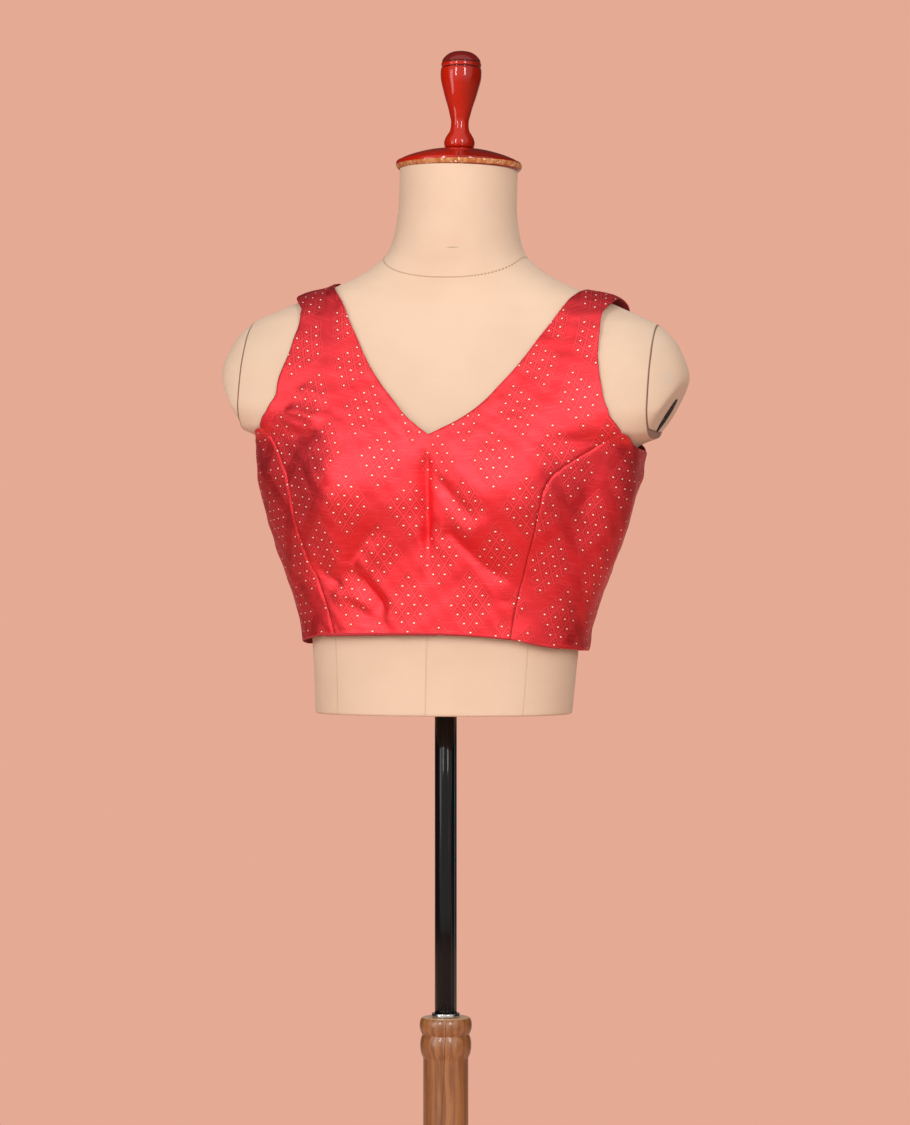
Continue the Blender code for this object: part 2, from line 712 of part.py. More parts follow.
def make_form(cloth, collection):
    """The torso and the two arm ends, cut from one closed form."""
    ends = {"torso": None, "arm_end_left": 1, "arm_end_right": -1}
    for name, half in ends.items():
        mesh = form_mesh(name)
        shape = bmesh.new()
        shape.from_mesh(mesh)
        if half is None:
            cut(shape, *leaning_plane((ARM_SEAM, 0, ARM_HEIGHT), (1, 0, 0)))
            cut(shape, *leaning_plane((-ARM_SEAM, 0, ARM_HEIGHT), (-1, 0, 0)))
        else:
            seam = ((ARM_SEAM + GAP) * half, 0, ARM_HEIGHT)
            cut(shape, *leaning_plane(seam, (-half, 0, 0)))
            end_point = (ARM_END_POINT[0] * half, 0, ARM_END_POINT[2])
            facing = (cos(ARM_END_TILT) * half, 0, -sin(ARM_END_TILT))
            cut(shape, *leaning_plane(end_point, facing))
        shape.to_mesh(mesh)
        shape.free()
        mesh.shade_smooth()
        mesh.set_sharp_from_angle(angle=radians(50))
        add_object(name, mesh, cloth, collection)


def turned(name, profile, finish, collection):
    """A piece turned on the upright axis from its profile."""
    mesh = bpy.data.meshes.new(name)
    points = [(radius, 0.0, height) for radius, height in profile]
    closed = profile[0][0] > 0.0
    count = len(points)
    edges = [(step, (step + 1) % count) for step in range(count if closed else count - 1)]
    mesh.from_pydata(points, edges, [])
    piece = add_object(name, mesh, finish, collection)
    screw = piece.modifiers.new("Turn", "SCREW")
    screw.steps = TURNED_STEPS
    screw.render_steps = TURNED_STEPS
    screw.use_merge_vertices = True
    screw.merge_threshold = 0.0001
    screw.use_smooth_shade = True
    return piece


def make_top(lacquer, lean_point):
    """The neck cap and the finial, which lean with the form."""
    for name, profile in (("neck_cap", NECK_CAP_PROFILE), ("finial", FINIAL_PROFILE)):
        upright = [(radius, height - FORM_BOTTOM) for radius, height in profile]
        piece = turned(name, upright, lacquer, lean_point.users_collection[0])
        piece.parent = lean_point


def make_fittings(iron, collection):
    """The slotted plate on the flat end of each arm."""
    for half, name in ((1, "arm_fitting_left"), (-1, "arm_fitting_right")):
        bpy.ops.mesh.primitive_cylinder_add(
            vertices=24, radius=FITTING_LENGTH / 2, depth=FITTING_THICKNESS
        )
        piece = bpy.context.object
        piece.name = name
        piece.data.name = name
        piece.data.transform(Matrix.Diagonal((1.0, FITTING_WIDTH / FITTING_LENGTH, 1.0, 1.0)))
        for owner in list(piece.users_collection):
            owner.objects.unlink(piece)
        collection.objects.link(piece)
        piece.data.materials.append(iron)
        out = Vector((cos(ARM_END_TILT) * half, 0.0, -sin(ARM_END_TILT)))
        centre = Vector((ARM_END_POINT[0] * half, 0.0, ARM_END_POINT[2]))
        centre += out * (FITTING_THICKNESS / 2 + GAP)
        facing = Matrix.Rotation(LEAN, 3, "Y") @ out
        piece.location = lean(centre)
        piece.rotation_euler = facing.to_track_quat("Z", "X").to_euler()


def make_stand(wood, black, steel, collection):
    """The post, its hub and four legs, and the pole with its ferrule."""
    turned("post", POST_PROFILE, wood, collection)
    bore = POLE_RADIUS + GAP
    low = POST_TOP + GAP
    high = low + FERRULE_HEIGHT
    ring = ((bore, high), (FERRULE_RADIUS, high), (FERRULE_RADIUS, low), (bore, low))
    turned("ferrule", ring, steel, collection)
    pole = (
        (0.0, FORM_BOTTOM - GAP),
        (POLE_RADIUS, FORM_BOTTOM - GAP),
        (POLE_RADIUS, low),
        (0.0, low),
    )
    turned("pole", pole, black, collection)

    bpy.ops.mesh.primitive_cube_add(size=1.0, location=(0, 0, (HUB_BASE + HUB_TOP) / 2))
    hub = bpy.context.object
    hub.name = "hub"
    hub.data.name = "hub"
    hub.data.transform(Matrix.Diagonal((HUB_WIDTH, HUB_WIDTH, HUB_TOP - HUB_BASE, 1.0)))
    for owner in list(hub.users_collection):
        owner.objects.unlink(hub)
    collection.objects.link(hub)
    hub.data.materials.append(wood)
    soften(hub, HUB_ROUND)

    for number in range(LEG_COUNT):
        leg = add_object(f"leg_{number + 1}", leg_outline(f"leg_{number + 1}"), wood, collection)
        leg.rotation_euler = (pi / 2, 0.0, number * 2 * pi / LEG_COUNT)
        weld = leg.modifiers.new("Weld", "WELD")
        weld.merge_threshold = 0.0001
        soften(leg, LEG_ROUND)


def soften(piece, width):
    """Round a piece's sharp edges."""
    bevel = piece.modifiers.new("Round", "BEVEL")
    bevel.width = width
    bevel.segments = 2
    bevel.limit_method = "ANGLE"
    bevel.angle_limit = radians(40)


def leg_outline(name):
    """The side outline of a curved leg, from the hub down to its flat foot."""
    start = HUB_WIDTH / 2 + GAP
    fall = (1.0 + np.cos(np.linspace(0.0, pi, LEG_STEPS))) / 2
    top_run = np.linspace(start, start + LEG_TOP_RUN, LEG_STEPS)
    upper = [
        (run, FOOT_HEIGHT + (LEG_TOP - FOOT_HEIGHT) * part) for run, part in zip(top_run, fall)
    ]
    under_run = np.linspace(start, start + LEG_SHOULDER_RUN, LEG_STEPS)
    under = [(run, LEG_SHOULDER * part) for run, part in zip(under_run, fall)]
    turn = np.linspace(pi / 2, 0.0, TOE_STEPS + 1)[1:]
    toe = [
        (LEG_REACH - TOE_RADIUS * (1 - cos(a)), FOOT_HEIGHT - TOE_RADIUS * (1 - sin(a)))
        for a in turn
    ]
    outline = upper + toe + [(LEG_REACH, 0.0)] + under[::-1]
    curve = bpy.data.curves.new(name, "CURVE")
    curve.dimensions = "2D"
    curve.fill_mode = "BOTH"
    curve.extrude = LEG_THICKNESS / 2
    spline = curve.splines.new("POLY")
    spline.points.add(len(outline) - 1)
    for point, (run, height) in zip(spline.points, outline):
        point.co = (run, height, 0.0, 1.0)
    spline.use_cyclic_u = True
    return curve


def build():
    """The whole part."""
    for old in list(bpy.data.objects):
        bpy.data.objects.remove(old, do_unlink=True)
    collection = bpy.data.collections.new("choli_blouse_on_dress_form")
    bpy.context.scene.collection.children.link(collection)
    silk = material("red_brocade", (0.78, 0.03, 0.05), 0.45)
    calico = material("cream_calico", (0.85, 0.68, 0.48), 0.85)
    lacquer = material("red_lacquer", (0.35, 0.02, 0.01), 0.15)
    wood = material("varnished_wood", (0.36, 0.16, 0.06), 0.35)
    black = material("black_enamel", (0.012, 0.012, 0.014), 0.2)
    steel = material("bright_steel", (0.6, 0.6, 0.6), 0.25, 1.0)
    iron = material("dark_iron", (0.03, 0.025, 0.025), 0.45, 1.0)

    lean_point = bpy.data.objects.new("lean_point", None)
    collection.objects.link(lean_point)
    lean_point.location = (0.0, 0.0, FORM_BOTTOM)
    lean_point.rotation_euler = (0.0, LEAN, 0.0)

    make_blouse(silk, collection)
    make_form(calico, collection)
    make_top(lacquer, lean_point)
    make_fittings(iron, collection)
    make_stand(wood, black, steel, collection)


if __name__ == "__main__":
    build()
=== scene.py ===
"""Finishes and fine form for the choli blouse, its dress form and its stand.

Metres, +Z up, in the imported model's own frame: the form faces -Y and its own
left side is +X. The cloth is named by two numbers, the angle round the body
from centre front and the rise, which is the height up to the shoulder level
and the run up a dome above it.
"""

import logging
from collections.abc import Iterator
from contextlib import contextmanager
from dataclasses import astuple, dataclass, field
from enum import Enum

import bmesh
import bpy
import numpy as np
from mathutils import Matrix, Vector


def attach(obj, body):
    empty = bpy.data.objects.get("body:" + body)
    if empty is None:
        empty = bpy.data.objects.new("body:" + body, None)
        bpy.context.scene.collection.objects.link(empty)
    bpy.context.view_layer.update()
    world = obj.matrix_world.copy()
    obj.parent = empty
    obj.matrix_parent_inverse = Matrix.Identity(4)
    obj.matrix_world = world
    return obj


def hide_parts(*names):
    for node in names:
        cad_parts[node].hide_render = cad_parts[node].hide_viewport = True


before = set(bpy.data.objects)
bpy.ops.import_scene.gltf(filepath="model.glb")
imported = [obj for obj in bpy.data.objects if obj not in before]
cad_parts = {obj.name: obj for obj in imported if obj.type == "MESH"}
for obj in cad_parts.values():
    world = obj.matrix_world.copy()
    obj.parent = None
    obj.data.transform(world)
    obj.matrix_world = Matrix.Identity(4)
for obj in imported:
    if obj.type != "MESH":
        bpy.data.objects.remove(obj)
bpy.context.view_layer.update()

LOG = logging.getLogger("choli_blouse")
BODY = "root"
FRONT = -1.0
BACK = 1.0
Array = np.ndarray
Piece = bpy.types.Object
Mesh = bpy.types.Mesh
Material = bpy.types.Material
Socket = bpy.types.NodeSocket
Pair = tuple[float, float]
Triple = tuple[float, float, float]
Rows = tuple[tuple[float, ...], ...]


class Side(Enum):
    """The wearer's two sides, as the sign of X."""

    LEFT = 1
    RIGHT = -1

    @property
    def label(self) -> str:
        """The side's name as piece names use it."""
        return self.name.lower()


# Curves and steps


def smooth_through(known: Array, value: Array, wanted: Array) -> Array:
    """A smooth curve through points: cubic Hermite spans, flat at each turning point.

    Args:
        known: rising places of the points.
        value: values at those places.
        wanted: places to read.

    Returns:
        The curve's value at each wanted place.
    """
    known, value = np.asarray(known, float), np.asarray(value, float)
    step = np.diff(known)
    slope = np.diff(value) / step
    tangent = np.zeros_like(value)
    turning = slope[:-1] * slope[1:] <= 0.0
    before = np.where(turning, 1.0, slope[:-1])
    after = np.where(turning, 1.0, slope[1:])
    tangent[1:-1] = np.where(turning, 0.0, 2.0 / (1.0 / before + 1.0 / after))
    tangent[0] = slope[0]
    tangent[-1] = slope[-1]
    wanted = np.clip(wanted, known[0], known[-1])
    piece = np.clip(np.searchsorted(known, wanted, "right") - 1, 0, len(step) - 1)
    width = step[piece]
    t = (wanted - known[piece]) / width
    return (
        (1 + 2 * t) * (1 - t) ** 2 * value[piece]
        + t * (1 - t) ** 2 * width * tangent[piece]
        + t**2 * (3 - 2 * t) * value[piece + 1]
        + t**2 * (t - 1) * width * tangent[piece + 1]
    )


def soft_step(value: Array, start: float, end: float) -> Array:
    """0 before start, 1 after end, and t*t*(3 - 2t) between."""
    t = np.clip((value - start) / (end - start), 0.0, 1.0)
    return t * t * (3.0 - 2.0 * t)


def wrapped(angle: Array) -> Array:
    """Angles in radians brought between minus pi and pi."""
    return (angle + np.pi) % (2 * np.pi) - np.pi


def stacked(*parts: Array | float) -> Array:
    """Numbers brought to one shape and joined as the last coordinates."""
    return np.stack(np.broadcast_arrays(*parts), axis=-1)


def run_along(points: Array) -> Array:
    """Distance along a line from its first point to each of its points."""
    return np.concatenate(([0.0], np.cumsum(np.linalg.norm(np.diff(points, axis=0), axis=1))))


def read_along(line: Array, known: Array, wanted: Array) -> Array:
    """A line with its points at known places, read straight between them at wanted ones."""
    return np.stack([np.interp(wanted, known, line[:, axis]) for axis in (0, 1)], axis=-1)


@dataclass(frozen=True)
class Table:
    """Rows of numbers under named columns, read as smooth curves of the first one."""

    columns: tuple[str, ...]
    rows: Rows

    def column(self, name: str) -> Array:
        """All the numbers under one name."""
        return np.asarray(self.rows)[:, self.columns.index(name)]

    def at(self, name: str, place: Array) -> Array:
        """One column's curve, read at places along the first column."""
        return smooth_through(self.column(self.columns[0]), self.column(name), place)


# The dress form and the cloth over it, as formulas


@dataclass(frozen=True)
class FormShape:
    """The dress form: level sections, a bust, and a lean to its own left."""

    bottom: float = 0.963
    lean: float = float(np.radians(1.4))
    sections: Table = Table(
        ("height", "half_width", "middle", "front", "back", "fullness"),
        (
            (0.963, 0.1165, -0.010, 0.0880, 0.0740, 2.25), (1.011, 0.1200, -0.010, 0.0882, 0.0760, 2.25),
            (1.040, 0.1225, -0.011, 0.0885, 0.0780, 2.25), (1.065, 0.1290, -0.013, 0.0888, 0.0800, 2.25),
            (1.100, 0.1410, -0.017, 0.0900, 0.0850, 2.25), (1.138, 0.1530, -0.020, 0.0930, 0.0900, 2.30),
            (1.175, 0.1630, -0.022, 0.0960, 0.0950, 2.30), (1.196, 0.1670, -0.020, 0.0970, 0.0965, 2.35),
            (1.207, 0.1710, -0.018, 0.0965, 0.0970, 2.40), (1.219, 0.1950, -0.014, 0.0950, 0.0975, 2.45),
            (1.241, 0.2120, -0.008, 0.0900, 0.0970, 2.60), (1.268, 0.2145, -0.002, 0.0810, 0.0940, 2.60),
            (1.295, 0.2058, 0.002, 0.0690, 0.0850, 2.50), (1.3155, 0.1880, 0.004, 0.0590, 0.0740, 2.30),
            (1.3240, 0.1700, 0.004, 0.0560, 0.0690, 2.20), (1.3320, 0.1520, 0.004, 0.0535, 0.0650, 2.15),
            (1.3400, 0.1330, 0.003, 0.0525, 0.0620, 2.10), (1.3475, 0.1135, 0.002, 0.0520, 0.0590, 2.05),
            (1.3560, 0.0940, 0.000, 0.0525, 0.0570, 2.00), (1.3650, 0.0790, 0.000, 0.0530, 0.0560, 2.00),
            (1.3780, 0.0640, 0.000, 0.0550, 0.0550, 2.00), (1.3940, 0.0575, 0.000, 0.0560, 0.0550, 2.00),
            (1.4240, 0.0534, 0.000, 0.0555, 0.0545, 2.00), (1.4550, 0.0534, 0.000, 0.0555, 0.0545, 2.00),
        ),
    )
    bust_height: float = 1.160
    bust_side: float = 0.082
    bust_rise: float = 0.031
    bust_spread: float = 0.044
    bust_run_up: float = 0.062
    bust_run_down: float = 0.044

    def section_at(self, height: Array) -> list[Array]:
        """Half width, middle, front, back and fullness at heights above the ground."""
        return [self.sections.at(name, height) for name in self.sections.columns[1:]]

    def bust(self, side: Array, height: Array, bridge: float, run_down: float) -> Array:
        """Depth that the bust adds: rise * exp(-(across / spread)^2 - (up / run)^2).

        Args:
            side: distances to the form's left.
            height: heights above the ground.
            bridge: spread of each bust towards the middle.
            run_down: spread of each bust downwards.

        Returns:
            The depth to add at each place.
        """
        across = np.abs(side) - self.bust_side
        spread = np.where(across < 0.0, bridge, self.bust_spread)
        up = height - self.bust_height
        run = np.where(up > 0.0, self.bust_run_up, run_down)
        return self.bust_rise * np.exp(-((across / spread) ** 2) - (up / run) ** 2)

    def leaned(self, points: Array) -> Array:
        """Points turned about the form's foot by its lean.

        Args:
            points: places on the upright form, coordinates last.

        Returns:
            The places on the leaning form.
        """
        turned = np.array(points, dtype=float)
        up = turned[..., 2] - self.bottom
        side = turned[..., 0].copy()
        turned[..., 0] = side * np.cos(self.lean) + up * np.sin(self.lean)
        turned[..., 2] = self.bottom + up * np.cos(self.lean) - side * np.sin(self.lean)
        return turned


@dataclass(frozen=True)
class Fold:
    """One crease: a trough, or a ridge where the depth is below 0, along a bent line."""

    start: Pair
    bend: Pair
    end: Pair
    depth: float
    near: float
    far: float
    sharpness: float = 2.0
    fade: Pair = (0.30, 0.30)

    turn_radius = 0.12
    steps = 14

    def push(self, angle: Array, rise: Array) -> Array:
        """How far the crease moves the cloth out.

        The line is the curve (1-t)^2 start + 2t(1-t) bend + t^2 end, and the push is
        -depth * ends(t) * exp(-(distance / width)^sharpness), with one width on each side.

        Args:
            angle: angles of the places, in radians.
            rise: rises of the places.

        Returns:
            The push at each place, in metres.
        """
        t = np.linspace(0.0, 1.0, self.steps + 1)[:, None]
        scale = np.array((np.radians(self.turn_radius), 1.0))
        first, middle, last = (np.array(p) * scale for p in (self.start, self.bend, self.end))
        line = (1 - t) ** 2 * first + 2 * t * (1 - t) * middle + t**2 * last
        mid_angle = np.radians(self.bend[0])
        round_body = (wrapped(angle - mid_angle) + mid_angle) * self.turn_radius
        flat = stacked(round_body, rise).reshape(-1, 2)
        run = np.diff(line, axis=0)
        square = (run**2).sum(axis=1)
        offset = flat[:, None, :] - line[None, :-1, :]
        share = np.clip((offset * run).sum(axis=2) / square, 0.0, 1.0)
        apart = offset - share[..., None] * run
        distance = np.hypot(apart[..., 0], apart[..., 1])
        nearest = distance.argmin(axis=1)
        pick = np.arange(len(flat))
        side = run[nearest, 0] * apart[pick, nearest, 1] - run[nearest, 1] * apart[pick, nearest, 0]
        width = np.where(side > 0.0, self.near, self.far)
        along = (nearest + share[pick, nearest]) / self.steps
        ends = soft_step(along, 0.0, self.fade[0]) * soft_step(1.0 - along, 0.0, self.fade[1])
        shape = np.exp(-((distance[pick, nearest] / width) ** self.sharpness))
        return (-self.depth * ends * shape).reshape(np.shape(angle))


def main_folds() -> tuple[Fold, ...]:
    """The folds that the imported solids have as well, as straight soft troughs and ridges."""
    rows: Rows = (
        (0.0, 1.200, 1.3, 1.088, 0.011, 0.0032), (10.0, 1.131, 42.0, 1.083, 0.009, 0.0034),
        (15.0, 1.141, 41.0, 1.098, 0.011, -0.0022), (6.0, 1.173, 27.0, 1.132, 0.012, 0.0026),
        (-22.0, 1.131, -39.5, 1.096, 0.009, 0.0034), (-38.5, 1.095, -21.5, 1.053, 0.010, 0.0036),
        (-33.0, 1.124, -47.0, 1.091, 0.010, -0.0022), (-56.0, 1.095, -43.0, 1.076, 0.012, 0.0030),
        (-45.0, 1.064, -20.0, 1.037, 0.012, 0.0026), (-66.0, 1.251, -52.0, 1.243, 0.010, 0.0014),
        (-70.0, 1.217, -44.0, 1.206, 0.011, 0.0014), (62.0, 1.190, 66.0, 1.110, 0.012, 0.0022),
        (74.0, 1.175, 76.0, 1.080, 0.013, -0.0022), (-76.0, 1.170, -72.0, 1.085, 0.013, 0.0022),
        (112.0, 1.165, 112.0, 1.215, 0.030, -0.0100), (110.0, 1.152, 116.0, 1.108, 0.020, -0.0105),
        (122.0, 1.150, 150.0, 1.090, 0.014, 0.0034), (150.0, 1.195, 172.0, 1.130, 0.014, 0.0030),
        (-112.0, 1.175, -114.0, 1.212, 0.028, -0.0060), (-118.0, 1.150, -146.0, 1.095, 0.014, 0.0034),
        (-152.0, 1.190, -170.0, 1.120, 0.015, 0.0028),
    )
    past, fade, made = 0.12, 0.38, []
    for angle_0, rise_0, angle_1, rise_1, width, depth in rows:
        reach = (angle_1 - angle_0, rise_1 - rise_0)
        start = (angle_0 - past * reach[0], rise_0 - past * reach[1])
        end = (angle_1 + past * reach[0], rise_1 + past * reach[1])
        middle = ((angle_0 + angle_1) / 2, (rise_0 + rise_1) / 2)
        made.append(Fold(start, middle, end, depth, width, width, 2.0, (fade, fade)))
    return tuple(made)


def fine_folds() -> tuple[Fold, ...]:
    """Narrower creases over the main folds: start, bend, end, depth, near, far, sharpness, fades."""
    rows: Rows = (
        # Centre front, from the neck point down
        (-0.5, 1.203, 0.6, 1.150, 1.4, 1.086, 0.0044, 0.0032, 0.0085, 1.4, 0.2, 0.35),
        (-4.0, 1.145, -2.6, 1.115, -2.2, 1.080, -0.0014, 0.0060, 0.0050, 1.8),
        # Long diagonal from the middle to the lower left side
        (9.5, 1.131, 26.0, 1.101, 43.0, 1.081, 0.0040, 0.0024, 0.0070, 1.2, 0.1, 0.2),
        (12.0, 1.140, 27.0, 1.110, 41.0, 1.092, -0.0014, 0.0045, 0.0060, 1.8),
        # Kinked fold on the right front
        (-21.5, 1.132, -31.0, 1.117, -40.0, 1.095, 0.0036, 0.0060, 0.0026, 1.3, 0.2, 0.1),
        (-40.0, 1.096, -32.0, 1.074, -20.5, 1.050, 0.0040, 0.0040, 0.0085, 1.4, 0.1, 0.3),
        (-36.0, 1.101, -27.0, 1.080, -17.0, 1.058, -0.0018, 0.0055, 0.0060, 1.8),
        # Small creases under the neck point
        (13.0, 1.199, 20.0, 1.190, 27.0, 1.180, 0.0007, 0.0025, 0.0030, 1.4),
        (4.0, 1.178, 12.0, 1.160, 25.0, 1.132, 0.0030, 0.0045, 0.0075, 1.5),
        (35.0, 1.066, 40.0, 1.067, 45.0, 1.066, 0.0008, 0.0020, 0.0030, 1.3),
        # Lower right corner, towards the hem
        (-57.0, 1.097, -50.0, 1.084, -42.0, 1.075, 0.0014, 0.0040, 0.0060, 1.5),
        (-46.0, 1.066, -34.0, 1.052, -19.0, 1.036, 0.0014, 0.0050, 0.0060, 1.6),
        (-50.0, 1.074, -40.0, 1.066, -28.0, 1.056, -0.0016, 0.0050, 0.0060, 1.8),
        # Right chest, towards the armhole
        (-60.0, 1.236, -54.0, 1.232, -44.0, 1.228, -0.0034, 0.0060, 0.0050, 1.8),
        (-69.0, 1.224, -57.0, 1.214, -43.0, 1.207, 0.0015, 0.0040, 0.0060, 1.5),
        (-48.0, 1.248, -43.0, 1.238, -36.0, 1.231, 0.0014, 0.0030, 0.0050, 1.5),
        (-51.5, 1.243, -51.0, 1.256, -49.5, 1.269, 0.0008, 0.0025, 0.0035, 1.4),
        (-58.0, 1.259, -54.0, 1.256, -47.0, 1.253, -0.0020, 0.0050, 0.0050, 1.8),
        # Left chest, towards the armhole
        (57.0, 1.252, 61.0, 1.246, 66.0, 1.236, 0.0007, 0.0025, 0.0035, 1.4),
        (34.0, 1.250, 37.0, 1.244, 41.0, 1.237, 0.0006, 0.0022, 0.0030, 1.4),
        # Left side front, soft upright folds
        (66.0, 1.190, 62.0, 1.165, 64.0, 1.130, 0.0012, 0.0050, 0.0070, 1.7),
        (84.0, 1.180, 80.0, 1.130, 84.0, 1.070, -0.0016, 0.0080, 0.0070, 1.9),
        (70.0, 1.120, 72.0, 1.080, 70.0, 1.040, 0.0012, 0.0060, 0.0070, 1.8),
        # Right side front
        (-84.0, 1.190, -80.0, 1.140, -82.0, 1.080, -0.0014, 0.0070, 0.0080, 1.9),
        (-66.0, 1.100, -68.0, 1.070, -64.0, 1.045, 0.0012, 0.0060, 0.0060, 1.8),
        # Back, like those in front
        (176.0, 1.190, 170.0, 1.160, 160.0, 1.140, 0.0016, 0.0050, 0.0060, 1.5),
        (120.0, 1.152, 134.0, 1.116, 152.0, 1.088, 0.0018, 0.0040, 0.0060, 1.4),
        (140.0, 1.070, 152.0, 1.062, 168.0, 1.060, 0.0012, 0.0050, 0.0060, 1.6),
        (-176.0, 1.185, -168.0, 1.155, -156.0, 1.130, 0.0016, 0.0060, 0.0050, 1.5),
        (-116.0, 1.155, -130.0, 1.120, -148.0, 1.092, 0.0018, 0.0060, 0.0040, 1.4),
        (-138.0, 1.075, -150.0, 1.064, -170.0, 1.058, 0.0012, 0.0060, 0.0050, 1.6),
        (128.0, 1.230, 136.0, 1.215, 148.0, 1.205, 0.0012, 0.0040, 0.0060, 1.6),
        (-126.0, 1.228, -134.0, 1.214, -146.0, 1.206, 0.0012, 0.0060, 0.0040, 1.6),
    )
    return tuple(
        Fold(row[:2], row[2:4], row[4:6], *row[6:10], fade=row[10:] or Fold.fade) for row in rows
    )


@dataclass(frozen=True)
class ClothShape:
    """The outside of the cloth: the form, let out by the ease, with its folds."""

    form: FormShape = FormShape()
    ease: Table = Table(
        ("height", "side", "front", "back"),
        (
            (1.015, 0.0090, 0.0072, 0.0095), (1.040, 0.0095, 0.0070, 0.0090),
            (1.065, 0.0100, 0.0072, 0.0088), (1.102, 0.0110, 0.0070, 0.0084),
            (1.138, 0.0115, 0.0052, 0.0078), (1.175, 0.0105, 0.0040, 0.0066),
            (1.207, 0.0070, 0.0038, 0.0056), (1.219, 0.0032, 0.0036, 0.0050),
            (1.300, 0.0030, 0.0032, 0.0045),
        ),
    )
    bust_bridge: float = 0.070
    bust_run_down: float = 0.054
    lift_inner: float = 0.0019
    lift_outer: Pair = (0.0075, 0.0045)
    lift_sides: Pair = (0.115, 0.146)
    lift_heights: Pair = (1.285, 1.335)
    ray_middle: float = -0.005
    ray_reach: float = 0.30
    ray_halvings: int = 34
    dome_level: float = 1.200
    dome_radius: float = 0.170
    ripple: float = 0.00022
    ripple_waves: Rows = ((190.0, 60.0, 1.0), (-110.0, 210.0, 2.2), (330.0, 290.0, 0.4))
    folds: tuple[Fold, ...] = field(default_factory=lambda: main_folds() + fine_folds())

    def beyond(self, point: list[Array]) -> Array:
        """Below 0 inside the cloth's outside, above 0 beyond it.

        A level section is |x / half_width|^n + |(y - middle) / reach|^n = 1, and the
        straps are lifted from the form by reading the section a little lower.

        Args:
            point: side, depth and height of the places.

        Returns:
            The section's sum minus 1 at each place.
        """
        side, depth, height = point
        outer = np.where(side > 0.0, self.lift_outer[0], self.lift_outer[1])
        across = soft_step(np.abs(side), *self.lift_sides)
        lift = self.lift_inner + (outer - self.lift_inner) * across
        level = height - lift * soft_step(height, *self.lift_heights)
        half_width, middle, front, back, fullness = self.form.section_at(level)
        half_width = half_width + self.ease.at("side", height)
        front = front + self.ease.at("front", height)
        back = back + self.ease.at("back", height)
        front = front + self.form.bust(side, level, self.bust_bridge, self.bust_run_down)
        apart = depth - middle
        reach = np.where(apart < 0.0, front + middle, back - middle)
        return np.abs(side / half_width) ** fullness + np.abs(apart / reach) ** fullness - 1.0

    def march(self, start: list[Array], direction: list[Array]) -> Array:
        """Distance along each ray to the cloth's smooth outside, by halving.

        Args:
            start: the rays' first points, inside the cloth.
            direction: the rays' unit directions.

        Returns:
            The distances.
        """
        near = np.zeros(np.shape(start[0] + direction[0]))
        far = near + self.ray_reach
        for _ in range(self.ray_halvings):
            middle = 0.5 * (near + far)
            outside = self.beyond([s + d * middle for s, d in zip(start, direction)]) > 0.0
            near = np.where(outside, near, middle)
            far = np.where(outside, middle, far)
        return near

    def rays(self, angle: Array, rise: Array) -> tuple[list, list]:
        """Start and direction of the ray that names each place on the cloth.

        Args:
            angle: angles round the body, in radians.
            rise: rises.

        Returns:
            The starts and the directions, each as three arrays.
        """
        tilt = np.maximum(rise - self.dome_level, 0.0) / self.dome_radius
        flat = 0.0 * angle
        start = [flat, flat + self.ray_middle, np.minimum(rise, self.dome_level) + flat]
        direction = [np.sin(angle) * np.cos(tilt), -np.cos(angle) * np.cos(tilt), np.sin(tilt)]
        return start, direction

    def ripples(self, angle: Array, rise: Array) -> Array:
        """Slight unevenness of the cloth: a sum of crossed waves sin(u across + v rise + w)."""
        across = angle * Fold.turn_radius
        return self.ripple * sum(np.sin(u * across + v * rise + w) for u, v, w in self.ripple_waves)

    def pushed(self, angle: Array, rise: Array) -> Array:
        """All the folds and ripples together."""
        return sum((fold.push(angle, rise) for fold in self.folds), self.ripples(angle, rise))

    def point(self, names: Array, inward: Array | float = 0.0, folded: bool = True) -> Array:
        """Places on the upright cloth, or a distance inward from it.

        Args:
            names: angle and rise of each place, last.
            inward: distance towards the body.
            folded: whether the folds count.

        Returns:
            The places' coordinates, last.
        """
        angle, rise = names[..., 0], names[..., 1]
        start, direction = self.rays(angle, rise)
        distance = self.march(start, direction) - inward
        if folded:
            distance = distance + self.pushed(angle, rise)
        return np.stack([s + d * distance for s, d in zip(start, direction)], axis=-1)

    def name_of(self, point: list[Array]) -> Array:
        """The angle and rise that name places on the cloth.

        Args:
            point: side, depth and height of the places.

        Returns:
            The names, with angle and rise last.
        """
        side, depth, height = point
        depth = depth - self.ray_middle
        over = np.arctan2(np.maximum(height - self.dome_level, 0.0), np.hypot(side, depth))
        rise = np.minimum(height, self.dome_level) + over * self.dome_radius
        return stacked(np.arctan2(side, -depth), rise)


# The cut of the blouse


